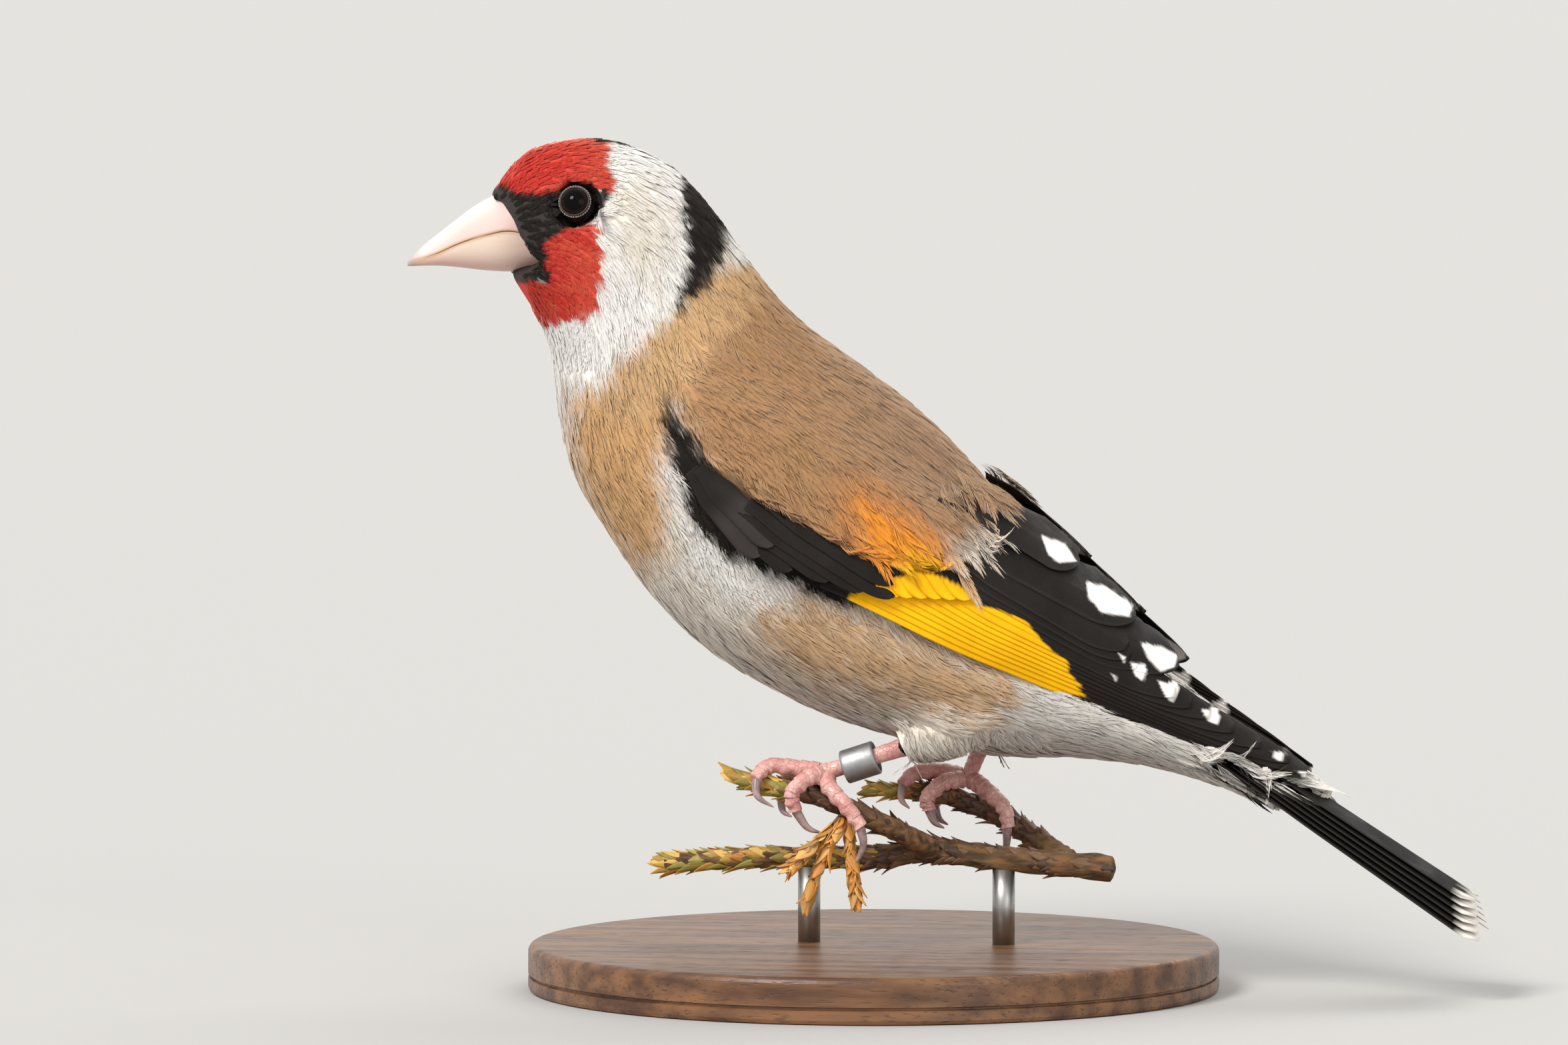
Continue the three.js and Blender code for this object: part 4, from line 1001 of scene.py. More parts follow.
    def _fringes(self) -> tuple[Array, Array, Array, Array]:
        """Places, normals, lie and tract of the feathers that lie over the flight feathers."""
        parts = []
        for fringe, side in ((f, s) for f in FRINGES for s in Side):
            corners = np.array(fringe.outline.outline)
            pairs = self.rng.uniform(corners.min(0), corners.max(0), (self.fringe_tries, 2))
            pairs = pairs[fringe.outline.cover(pairs, np.zeros((len(pairs), 3)), SEED) > 0.5]
            surface, sign = fringe.surface, side.value
            out = np.abs(surface.seen(pairs, sign, np.zeros(len(pairs)))[:, 1])
            places = surface.seen(pairs, sign, fringe.lift * smooth(out / self.ridge_out) - self.ridge_drop)
            places = places[self._spread(places, self.regions(places))]
            normals = surface.normal(*surface.locate(places[:, 0], places[:, 2]), sign)
            even = (normals @ ASTERN < self.stern_limit) & (normals[:, 2] > self.fringe_limit)
            places, normals = places[even], normals[even]
            parts.append((places, normals, self.flow(places, normals), self.regions(places)))
        return tuple(np.concatenate(column) for column in zip(*parts))

    @staticmethod
    def _spread(places: Array, kind: Array) -> list[int]:
        """Indices of places that keep their tract's spacing from those kept before them."""
        spacing = np.array([t.spacing for t in TRACTS])[kind]
        cells = (places // max(t.spacing for t in TRACTS)).astype(int)
        grid: dict[tuple[int, int, int], list[int]] = {}
        kept = []
        rows, marks = places.tolist(), cells.tolist()
        around = [(i, j, k) for i in (-1, 0, 1) for j in (-1, 0, 1) for k in (-1, 0, 1)]
        for n, ((x, y, z), (cx, cy, cz)) in enumerate(zip(rows, marks)):
            limit = spacing[n] ** 2
            near = (rows[m] for i, j, k in around for m in grid.get((cx + i, cy + j, cz + k), ()))
            if any((a - x) ** 2 + (b - y) ** 2 + (c - z) ** 2 < limit for a, b, c in near):
                continue
            grid.setdefault((cx, cy, cz), []).append(n)
            kept.append(n)
        return kept

    def _hidden(self, place: Array, normal: Array, lie: Array) -> bool:
        """Whether the folded wing lies over a place and what grows from it."""
        near = self.wing_near if place[0] < self.tip_x else self.tip_near
        starts = (Vector(place + lie * reach - normal * 0.1) for reach in (0.0, self.wing_reach))
        return all(self.wings.ray_cast(start, Vector(normal), near)[0] is not None for start in starts)

    def template(self, barbs: int, rng: np.random.Generator) -> tuple[Array, Array]:
        """One feather in its own frame.

        Args:
            barbs: Pairs of barbs.
            rng: Source of its small differences.

        Returns:
            Points (share of length, across in half widths, across and height in millimetres) and triangles.
        """
        points, faces = [], []

        def sliver(start: Pair, end: Pair, bow: float, width: float) -> None:
            first = len(points)
            mid_s, mid_t = 0.45 * end[0] + 0.55 * start[0], 0.5 * (start[1] + end[1]) + bow
            drop = rng.uniform(-0.03, 0.03)
            points.extend([
                (start[0], start[1], 0.0, drop - 0.02), (mid_s, mid_t, -width / 2, drop),
                (mid_s, mid_t, width / 2, drop), (mid_s, mid_t, 0.0, drop + self.barb_thickness),
                (end[0], end[1], 0.0, drop + rng.uniform(-0.02, 0.05))])
            for i, j in ((1, 2), (2, 3), (3, 1)):
                faces.extend([(first, first + j, first + i), (first + 4, first + i, first + j)])

        sliver((0.0, 0.0), (0.86, 0.0), 0.0, self.barb_width * 0.8)
        for i in range(barbs):
            base = 0.08 + 0.74 * i / (barbs - 1)
            for side in (-1, 1):
                tip = min(1.05, base + 0.46 - 0.16 * base + rng.uniform(-0.05, 0.06))
                reach = math.sin(math.pi * min(1.0, 0.12 + 0.78 * tip)) ** 0.7 * rng.uniform(0.8, 1.1)
                sliver((base, 0.0), (tip, side * reach), side * 0.1, self.barb_width * rng.uniform(0.8, 1.2))
        return np.array(points), np.array(faces)

    def feathers(self) -> list[Object]:
        """The coat's pieces: every root's feather laid over the skin, as joined meshes."""
        places, normals, lie, kind = self.roots()
        log.info("feathers: %d", len(places))
        material = PlumeFinish().material()
        made: list[Object] = []
        for barbs in sorted({t.barbs for t in TRACTS}):
            rng = np.random.default_rng(SEED + barbs)
            templates = [self.template(barbs, rng) for _ in range(self.variants)]
            alike = np.array([t.barbs == barbs for t in TRACTS])[kind]
            index = np.where(alike)[0]
            index = index[np.argsort(places[index, 0])]
            size = PIECE_LIMIT // len(templates[0][1])
            for start in range(0, len(index), size):
                pick = index[start : start + size]
                made.append(self._piece(places[pick], normals[pick], lie[pick], kind[pick], templates,
                                        len(made), material))
        return made

    def _piece(self, p0: Array, n0: Array, lie: Array, kind: Array, templates: list,
               number: int, material: Material) -> Object:
        """One joined mesh of feathers at places p0, with normals n0."""
        count = len(p0)
        rng = np.random.default_rng(SEED + 200 + number)
        length, width, rise = (
            np.array([getattr(t, key) for t in TRACTS])[kind] * rng.uniform(0.84, 1.14, count)
            for key in ("length", "width", "rise"))
        width = width / 2
        lie = unit(lie + np.cross(n0, lie) * rng.normal(0, 0.1, count)[:, None])
        p1, n1 = self._onward(p0, n0, lie, length / 2)
        p2, n2 = self._onward(p1, n1, unit(lie - n1 * (lie * n1).sum(-1, keepdims=True)), length / 2)
        stations = [p0 + (p1 - p0) * 0.7, p1 + (p2 - p1) * 0.35, p1 + (p2 - p1) * 0.85]
        tints = np.stack([plumage_colour(p) for p in stations])
        place_uv = self.unwrap(p0)
        variant = rng.integers(0, len(templates), count)
        points, faces, colours, uvs, bends = [], [], [], [], []
        start = 0
        for k, (template, triangles) in enumerate(templates):
            pick = np.where(variant == k)[0]
            s, t, off, height = template.T
            weights = np.stack([(1 - s) * (1 - 2 * s), 4 * s * (1 - s), s * (2 * s - 1)])[:, None, :, None]
            curve = (weights * np.stack([p0, p1, p2])[:, pick, None]).sum(0)
            normal = unit(n0[pick, None] * (1 - s)[:, None] + n2[pick, None] * s[:, None])
            side = unit(np.cross(normal, unit(p2 - p0)[pick, None]))
            lift = rise[pick, None] * (1 - (1 - np.minimum(s, 1)) ** 1.7) + height
            lift = lift - 0.12 * t**2 * width[pick, None]
            spread = t * width[pick, None] + off
            points.append((curve + side * spread[..., None] + normal * lift[..., None]).reshape(-1, 3))
            bends.append(unit(normal + side * (0.25 * t)[None, :, None]).reshape(-1, 3))
            shade = rng.uniform(0.95, 1.04, len(pick))[:, None] * rng.uniform(0.95, 1.04, len(s))[None]
            shade = shade * (0.9 + 0.1 * smooth(s / 0.4))[None]
            tint = mixed(tints[0][pick, None], smooth((s - 0.35) / 0.3), tints[1][pick, None])
            tint = mixed(tint, smooth((s - 0.65) / 0.25), tints[2][pick, None])
            colours.append((tint * shade[..., None]).reshape(-1, 3))
            patch = np.stack([s - 0.5, t / 2.4], -1) * PATCH
            uvs.append((place_uv[pick, None] + patch).reshape(-1, 2))
            offsets = start + np.arange(len(pick))[:, None, None] * len(s)
            faces.append((triangles[None] + offsets).reshape(-1, 3))
            start += len(pick) * len(s)
        name = f"coat_{number:02d}"
        mesh = mesh_from(np.concatenate(points), np.concatenate(faces))
        paint(mesh, np.concatenate(colours))
        lay_uv(mesh, COAT_UV, np.concatenate(uvs))
        mesh.normals_split_custom_set_from_vertices(np.concatenate(bends))
        return object_of(mesh, name, material)

    def _onward(self, p: Array, n: Array, lie: Array,
                distance: Array) -> tuple[Array, Array]:
        """Places a distance on along the skin, and the normals there."""
        places, normals = p + lie * distance[:, None], n.copy()
        for i, target in enumerate(places):
            near, normal, _index, away = self.tree.find_nearest(Vector(target))
            if away < 0.6 * distance[i]:
                places[i], normals[i] = near, unit(0.5 * n[i] + np.array(normal))
        return places, normals


class VaneKind(Enum):
    """Feathers of the wing, which differ in their markings."""

    PRIMARY = "primary"
    SECONDARY = "secondary"
    TERTIAL = "tertial"
    GREATER = "greater_covert"
    PRIMARY_COVERT = "primary_covert"
    ALULA = "alula"


@dataclass(frozen=True)
class Vane:
    """A flight or covert feather drawn in the side view and laid on the wing's surface."""

    kind: VaneKind
    root: Pair
    tip: Pair
    width: float
    lifts: Pair


WING_YELLOW = Patch(
    [(-4.0, 41.0), (-2.6, 42.4), (1.6, 43.8), (4.6, 45.0), (7.6, 44.0), (9.9, 42.9), (11.4, 41.2),
     (13.6, 40.6), (15.8, 39.6), (17.2, 38.2), (18.2, 37.0), (20.1, 35.5), (21.0, 33.9), (22.3, 31.6),
     (15.0, 32.6), (8.0, 35.2), (2.0, 37.8)], YELLOW, 0.1, 0.06)
WING_SPOTS = tuple(Patch(outline, "f6f3f1", 0.12, 0.04) for outline in (
    ((17.7, 48.5), (20.2, 47.7), (21.4, 45.8), (19.6, 45.7), (18.4, 46.5)),
    ((22.4, 43.6), (24.6, 43.1), (27.5, 41.1), (27.0, 39.9), (24.0, 40.4), (22.6, 42.0)),
    ((28.2, 37.1), (30.4, 36.7), (32.3, 35.8), (31.8, 34.6), (30.4, 34.1), (29.0, 35.4)),
    ((27.1, 35.1), (28.6, 34.9), (28.9, 34.0), (28.3, 33.2), (27.6, 33.8)),
    ((30.1, 33.1), (31.0, 32.9), (32.1, 33.4), (32.2, 32.0), (31.5, 31.0), (30.8, 31.6)),
    ((34.7, 30.1), (35.5, 30.0), (36.3, 30.6), (36.6, 29.4), (36.2, 28.6), (35.4, 28.9)),
    ((25.8, 36.1), (26.5, 35.7), (26.4, 35.1)), ((25.1, 33.9), (25.6, 33.7), (25.5, 33.2)),
    ((42.3, 25.5), (43.7, 25.5), (43.4, 24.7), (42.7, 24.7)),
    ((45.0, 23.5), (46.4, 23.4), (46.4, 22.8), (45.5, 22.9)),
))
VANE_THICKNESS = 0.06
SHAFT_HEIGHT = 0.05


def vane_grid(rows: int, cols: int) -> tuple[Array, Array, Array]:
    """Shares along and across a vane, and quads of its closed two-sided grid."""
    u, v = np.meshgrid(np.linspace(0, 1, rows), np.linspace(-1, 1, cols), indexing="ij")
    at = np.arange(rows * cols).reshape(rows, cols)
    a, b, c, d = at[:-1, :-1], at[:-1, 1:], at[1:, 1:], at[1:, :-1]
    top = np.stack([a, b, c, d], -1).reshape(-1, 4)
    under = top[:, ::-1] + rows * cols
    rim = np.concatenate([at[0, :-1], at[:-1, -1], at[-1, :0:-1], at[:0:-1, 0]])
    turned = np.roll(rim, -1)
    edge = np.stack([turned, rim, rim + rows * cols, turned + rows * cols], -1)
    return u, v, np.concatenate([top, under, edge])


class VaneStack:
    """Gathers the vanes of a wing or tail, each a closed sheet with a raised shaft, into one mesh."""

    def __init__(self, shaft: float, shaft_width: float) -> None:
        """Keeps where the shaft lies across a vane and how wide it is, in half widths."""
        self.shaft, self.shaft_width = shaft, shaft_width
        self.points, self.faces, self.colours, self.uvs = [], [], [], []
        self.start = 0

    def add(self, grid: tuple[Array, ...], side: Side, mid: Array, out: Array,
            camber: Array, size: tuple[float, Array], colour: Array) -> None:
        """Adds a vane.

        Args:
            grid: Shares along and across it, and its quads.
            side: The side that it is on.
            mid: Its middle surface in millimetres.
            out: Outward direction, of the whole or of each point.
            camber: How far its middle is raised.
            size: Its length and half widths.
            colour: Its colours, one row for each point.
        """
        u, v, quads = grid
        length, half = size
        ridge = SHAFT_HEIGHT * np.exp(-((v - self.shaft) / self.shaft_width) ** 2) * (1 - 0.8 * u)
        top = mid + out * (VANE_THICKNESS / 2 + ridge + camber)[..., None]
        under = mid + out * (camber - VANE_THICKNESS / 2)[..., None]
        self.points += [top.reshape(-1, 3), under.reshape(-1, 3)]
        self.faces.append((quads if side is Side.RIGHT else quads[:, ::-1]) + self.start)
        self.start += 2 * u.size
        self.colours += [colour, colour]
        uv = np.stack([u * length * MM, (v - self.shaft) * half * MM], -1).reshape(-1, 2)
        self.uvs += [uv, uv]

    def piece(self, name: str, material: Material) -> Object:
        """The gathered vanes as one object."""
        mesh = mesh_from(np.concatenate(self.points), np.concatenate(self.faces))
        paint(mesh, np.concatenate(self.colours))
        lay_uv(mesh, "vane", np.concatenate(self.uvs))
        return object_of(mesh, name, material)


def vane_outline(u: Array, tip_from: float, blunt: float) -> Array:
    """Half width of a vane along it, as a share of its widest."""
    tip = np.sqrt(np.maximum(1 - (np.clip((u - tip_from) / (1 - tip_from), 0, 1)) ** 2 * blunt, 0.004))
    return (0.5 + 0.5 * smooth(u / 0.35)) * tip


def pair_array(pairs: Sequence[Pair], share: float) -> Array:
    """The place at a share of the way from the first pair to the second."""
    a, b = np.array(pairs[0], float), np.array(pairs[1], float)
    return a + (b - a) * share


class Wing:
    """A folded wing of closed vanes, from the wing tip's outermost feather to the tertials."""

    fine, plain = (104, 25), (44, 9)
    spotted = (VaneKind.PRIMARY, VaneKind.SECONDARY, VaneKind.TERTIAL)
    camber = 0.02
    greater = 7
    primary_tips: Sequence[Pair] = (
        (43.4, 24.0), (46.0, 23.4), (46.2, 23.9), (44.2, 25.0), (41.2, 26.6), (38.2, 28.2),
        (35.6, 29.7), (33.6, 30.8), (31.8, 31.9))
    primary_roots: Sequence[Pair] = ((-5.6, 44.0), (4.0, 45.6))
    secondary_tips: Sequence[Pair] = ((30.6, 32.9), (29.2, 34.0), (28.0, 35.1), (27.2, 36.1), (26.8, 37.0))
    secondary_roots: Sequence[Pair] = ((4.2, 46.2), (6.6, 49.0))

    def __init__(self, side: Side) -> None:
        """Keeps the wing's side and lays out its feathers."""
        self.side = side
        self.vanes = list(self._layout())

    def _layout(self) -> Iterable[Vane]:
        """The wing's feathers, from the lowest layer to the highest."""
        for k, tip in enumerate(self.primary_tips):
            share = k / (len(self.primary_tips) - 1)
            lifts = (-0.75 + 0.3 * share, -0.55 + 0.75 * share)
            yield Vane(VaneKind.PRIMARY, tuple(pair_array(self.primary_roots, share)), tip, 3.7, lifts)
        for k, tip in enumerate(self.secondary_tips):
            share = k / (len(self.secondary_tips) - 1)
            lifts = (-0.4 + 0.25 * share, -0.1 + 0.25 * share)
            yield Vane(VaneKind.SECONDARY, tuple(pair_array(self.secondary_roots, share)), tip, 4.6, lifts)
        # Root, tip and width of each, here and below.
        tertials = (((3.5, 49.0), (32.4, 34.9), 6.0), ((6.4, 51.6), (27.9, 40.0), 5.8),
                    ((9.4, 53.6), (21.8, 45.7), 4.9))
        for k, (root, tip, width) in enumerate(tertials):
            yield Vane(VaneKind.TERTIAL, root, tip, width, (-0.2 + 0.06 * k, -0.05 + 0.07 * k))
        for k in range(self.greater):
            share = k / (self.greater - 1)
            root = pair_array(((-5.0, 51.0), (4.4, 50.4)), share)
            tip = pair_array(((1.0, 42.3), (10.0, 41.8)), share)
            yield Vane(VaneKind.GREATER, tuple(root), tuple(tip), 2.8, (0.1, 0.25))
        coverts = (((-15.6, 50.6), (-8.6, 45.1), 2.4), ((-14.8, 51.2), (-4.6, 44.0), 2.5),
                   ((-14.2, 51.6), (-1.0, 42.9), 2.6), ((-13.4, 52.0), (2.1, 42.2), 2.8),
                   ((-12.2, 52.8), (2.0, 43.5), 2.6))
        for k, (root, tip, width) in enumerate(coverts):
            yield Vane(VaneKind.PRIMARY_COVERT, root, tip, width, (0.1 + 0.05 * k, 0.25 + 0.05 * k))
        alulas = (((-19.4, 55.6), (-12.0, 46.5), 3.0), ((-18.6, 55.8), (-10.6, 47.6), 2.8))
        for k, (root, tip, width) in enumerate(alulas):
            yield Vane(VaneKind.ALULA, root, tip, width, (0.2, 0.35 + 0.06 * k))

    def _surface(self, vane: Vane, u: Array, v: Array) -> tuple[Array, Array]:
        """Middle surface of a vane and its drawn half width, over its grid."""
        root, tip = np.array(vane.root), np.array(vane.tip)
        span = np.linalg.norm(tip - root)
        along = (tip - root) / span
        across = np.array([-along[1], along[0]])
        blunt = 0.9 if vane.kind in (VaneKind.PRIMARY, VaneKind.SECONDARY) else 0.99
        half = vane.width / 2 * vane_outline(u, 0.8, blunt)
        pairs = root + along * (u * span)[..., None] + across * (v * half)[..., None]
        lift = vane.lifts[0] + (vane.lifts[1] - vane.lifts[0]) * u - 0.26 * v
        return wing_shell.seen(pairs, self.side.value, lift), half

    @staticmethod
    def _colour(vane: Vane, u: Array, v: Array, mid: Array,
                rng: np.random.Generator) -> Array:
        """Markings of a vane over its grid of points mid; v is -1 on the outer web."""
        points = mid.reshape(-1, 3)
        pairs = drawn(points)
        jog = np.array([rng.uniform(-0.3, 0.3), 0.0])
        colour = np.tile(linear("1a1614") * rng.uniform(0.85, 1.2), (len(points), 1))
        edge = smooth((np.abs(v) - 0.86) / 0.12).reshape(-1) * 0.1
        colour = mixed(colour, edge, linear("6f665e"))
        if vane.kind in (VaneKind.PRIMARY, VaneKind.SECONDARY, VaneKind.GREATER):
            share = WING_YELLOW.cover(pairs + jog, points, SEED + 3)
            rich = linear(YELLOW) * rng.uniform(0.93, 1.03) * (1 - 0.3 * edge[:, None])
            colour = mixed(colour, share, rich)
        if vane.kind is VaneKind.ALULA:
            colour = mixed(colour, (smooth((u - 0.3) / 0.3) * 0.7).reshape(-1), linear("3b3735"))
        if vane.kind in Wing.spotted:
            for spot in WING_SPOTS:
                colour = mixed(colour, spot.cover(pairs, points, SEED + 4), linear(spot.colour))
        return colour

    def piece(self, material: Material) -> Object:
        """The wing as one joined mesh of vanes."""
        rng = np.random.default_rng(SEED + 31)
        grids = {kind: vane_grid(*(self.fine if kind in self.spotted else self.plain)) for kind in VaneKind}
        stack = VaneStack(shaft=-0.15, shaft_width=0.09)
        for vane in self.vanes:
            u, v, _quads = grids[vane.kind]
            mid, half = self._surface(vane, u, v)
            out = unit(np.cross(np.gradient(mid, axis=0), np.gradient(mid, axis=1)))
            out *= np.sign(out[..., 1:2] * self.side.value + 1e-9)
            stack.add(grids[vane.kind], self.side, mid, out, self.camber * vane.width * (1 - v**2),
                      (math.dist(vane.root, vane.tip), half), self._colour(vane, u, v, mid, rng))
        return stack.piece(f"wing_feathers_{self.side.name.lower()}", material)


@dataclass
class Tail:
    """Six pairs of tail feathers in a shallow roof, with a notch between the middle pair."""

    root: tuple[float, float, float] = (25.5, 0.0, 33.8)
    fall: float = TAIL_FALL
    pairs: int = 6
    length: float = 45.5
    fork: float = 0.55
    rise: float = 1.9
    drop: float = 0.45
    step: float = 0.78
    rows: int = 34
    cols: int = 11
    camber: float = 0.05
    narrow: float = 1.3
    widening: float = 1.6
    tip_from: float = 0.95
    packed: float = 0.3
    roof: float = 0.16
    white_from: float = 0.962
    barred_from: int = 3

    def piece(self, material: Material) -> Object:
        """The tail as one joined mesh of vanes."""
        rng = np.random.default_rng(SEED + 57)
        along = np.array([math.cos(self.fall), 0, -math.sin(self.fall)])
        up = np.array([math.sin(self.fall), 0, math.cos(self.fall)])
        grid = u, v, _quads = vane_grid(self.rows, self.cols)
        stack = VaneStack(shaft=-0.1, shaft_width=0.08)
        black, white = linear("171412"), linear("efebe4")
        for k, side in ((k, side) for k in range(self.pairs) for side in Side):
            length = self.length + self.fork * k
            ending = np.clip((u - self.tip_from) / (1 - self.tip_from), 0, 1)
            tip = np.sqrt(np.maximum(1 - ending**2 * 0.9, 0.01))
            half = (self.narrow + self.widening * smooth(u / 0.6)) * tip
            middle = 0.5 + 1.1 * u + k * (self.packed + (self.step - self.packed) * u)
            y = side.value * (middle + v * half)
            height = self.rise - k * (self.packed + (self.drop - self.packed) * u) - np.abs(y) * self.roof
            mid = np.array(self.root) + along * (length * u)[..., None] + up * height[..., None]
            mid[..., 1] += y
            jag = 0.005 * rng.normal(size=u.shape)
            spot = smooth((u - (self.white_from - 0.003 * k) + jag) / 0.014)
            if k >= self.barred_from:
                inner = smooth((-v + 0.1) / 0.2) * smooth((u - 0.62) / 0.03) * smooth((0.86 - u) / 0.03)
                spot = np.maximum(spot, inner)
            colour = mixed(black * rng.uniform(0.85, 1.25), spot, white)
            colour = mixed(colour, smooth((np.abs(v) - 0.9) / 0.08) * 0.06, linear("6d645c")).reshape(-1, 3)
            stack.add(grid, side, mid, up, self.camber * (1 - v**2), (length, half), colour)
        return stack.piece("tail_feathers", material)


def tube(points: Sequence[Sequence[float]], radii: Sequence[float], rings: int = 40, sides: int = 20,
         relief: Callable[[Array, Array], Array] | None = None,
         up: Sequence[float] = (0.0, 0.0, 1.0)) -> tuple[Array, Array]:
    """A closed tube along a smooth curve, in millimetres.

    Args:
        points: The curve's places.
        radii: Radius at each place.
        rings: Rings along it.
        sides: Points round it.
        relief: Extra radius as a function of the share along and the angle round, 0 where up is.
        up: Direction of the angle 0.

    Returns:
        Points and quads.
    """
    q = np.linspace(0, len(points) - 1, rings)
    centre = spline(np.array(points, float), q)
    radius = spline(np.array(radii, float)[:, None], q)[:, 0]
    ahead = unit(np.gradient(centre, axis=0))
    side = unit(np.cross(np.array(up, float), ahead))
    top = np.cross(ahead, side)
    turn = np.arange(sides) * 2 * math.pi / sides
    share, angle = np.meshgrid(np.linspace(0, 1, rings), turn, indexing="ij")
    size = radius[:, None] + (relief(share, angle) if relief else 0.0)
    size = size * np.sqrt(np.clip(np.minimum(share, 1 - share) * rings / 2.0 + 0.02, 0, 1))
    ring = top[:, None] * np.cos(angle)[..., None] + side[:, None] * np.sin(angle)[..., None]
    body = (centre[:, None] + ring * size[..., None]).reshape(-1, 3)
    at = np.arange(rings * sides).reshape(rings, sides)
    a, b = at[:-1], np.roll(at, -1, axis=1)[:-1]
    c, d = np.roll(at, -1, axis=1)[1:], at[1:]
    quads = np.stack([a, d, c, b], -1).reshape(-1, 4)
    return body, quads


def joined(parts: Iterable[tuple[Array, Array]]) -> tuple[Array, Array]:
    """Several arrays of points and faces of equal size as one."""
    points, faces, start = [], [], 0
    for p, f in parts:
        points.append(p)
        faces.append(f + start)
        start += len(p)
    return np.concatenate(points), np.concatenate(faces)


def lathe(profile: Sequence[Pair], sides: int = 128) -> tuple[Array, Array]:
    """A closed profile of radius and height turned round the Z axis, with a wall all round."""
    angle = np.arange(sides) * 2 * math.pi / sides
    ring = np.stack([np.cos(angle), np.sin(angle)], -1)
    rows = [np.concatenate([ring * r, np.full((sides, 1), h)], 1) for r, h in profile]
    at = np.arange(len(profile) * sides).reshape(len(profile), sides)
    a, b = at, np.roll(at, -1, axis=1)
    c, d = np.roll(b, -1, axis=0), np.roll(a, -1, axis=0)
    return np.concatenate(rows), np.stack([a, b, c, d], -1).reshape(-1, 4)


@dataclass
class Bill:
    """The bill's two horny halves, lofted above and below the mouth line, in millimetres."""

    # x, culmen, mouth, lower edge, half width
    rows: Sequence[tuple[float, float, float, float, float]] = (
        (-50.5, 77.6, 77.4, 77.25, 0.15), (-49.7, 78.5, 77.75, 77.25, 0.55), (-48.4, 79.7, 78.15, 77.3, 1.1),
        (-46.8, 80.95, 78.75, 77.3, 1.65), (-44.8, 82.5, 79.65, 77.15, 2.3), (-43.0, 83.8, 80.3, 76.95, 2.9),
        (-41.2, 84.8, 80.8, 76.8, 3.45), (-39.4, 85.5, 81.2, 76.75, 4.0), (-37.6, 85.9, 81.1, 76.9, 4.4),
        (-35.8, 86.0, 80.4, 77.0, 4.6), (-34.4, 86.0, 79.8, 77.1, 4.6))
    slit: float = 0.05
    fullness: float = 0.88
    crest: float = 1.1
    lower_share: float = 0.97
    closing: float = 0.02
    stations: int = 150
    around: int = 56

    def pieces(self) -> list[Object]:
        """Both halves."""
        material = HornFinish().material()
        rows = spline(np.array(self.rows), np.linspace(0, len(self.rows) - 1, self.stations))
        x, culmen, mouth, under, half = (column[:, None] for column in rows.T)
        turn = np.linspace(0, math.pi, self.around)[None]
        made = []
        for node, edge, way in (("bill_upper", culmen, 1), ("bill_lower", under, -1)):
            y = half * np.sign(np.cos(turn)) * np.abs(np.cos(turn)) ** self.fullness
            y = y * (1 if way > 0 else self.lower_share)
            z = mouth + way * self.slit / 2 + (edge - mouth) * np.sin(turn) ** self.crest
            ring = np.stack([x + 0 * turn, y, z], -1)
            for end in (0, -1):
                middle = ring[end].mean(0)
                ring[end] = middle + (ring[end] - middle) * self.closing
            at = np.arange(ring.shape[0] * self.around).reshape(-1, self.around)
            c, d = np.roll(at, -1, axis=1)[1:], at[1:]
            quads = np.stack([at[:-1], d, c, np.roll(at, -1, axis=1)[:-1]], -1).reshape(-1, 4)[:, ::way]
            colours = self._colour(x + 0 * turn, np.abs(edge - z), np.abs(z - mouth), way > 0)
            made.append(piece_from(f"{node}_horn", (ring.reshape(-1, 3), quads), material, "bill_horn", node,
                                   colours=colours.reshape(-1, 3)))
        return made

    @staticmethod
    def _colour(x: Array, from_edge: Array, from_mouth: Array, upper: bool) -> Array:
        """Pink above and cream below the mouth, with a golden cutting edge and a dusky tip and root."""
        layers = (
            (smooth(1 - from_edge / 2.4), "ecd9d6" if upper else "d5b0a4"),
            (0.75 * smooth(1.25 - from_mouth / 0.34), "b98f5e"),
            (0.6 * smooth((x + 41.5) / 6.0), "b58c7e"), (0.75 * smooth((-48.2 - x) / 2.2), "a3918e"))
        colour = np.broadcast_to(linear("ddbfba" if upper else "dccaba"), (*x.shape, 3)).copy()
        for share, code in layers:
            colour = mixed(colour, share, linear(code))
        return colour


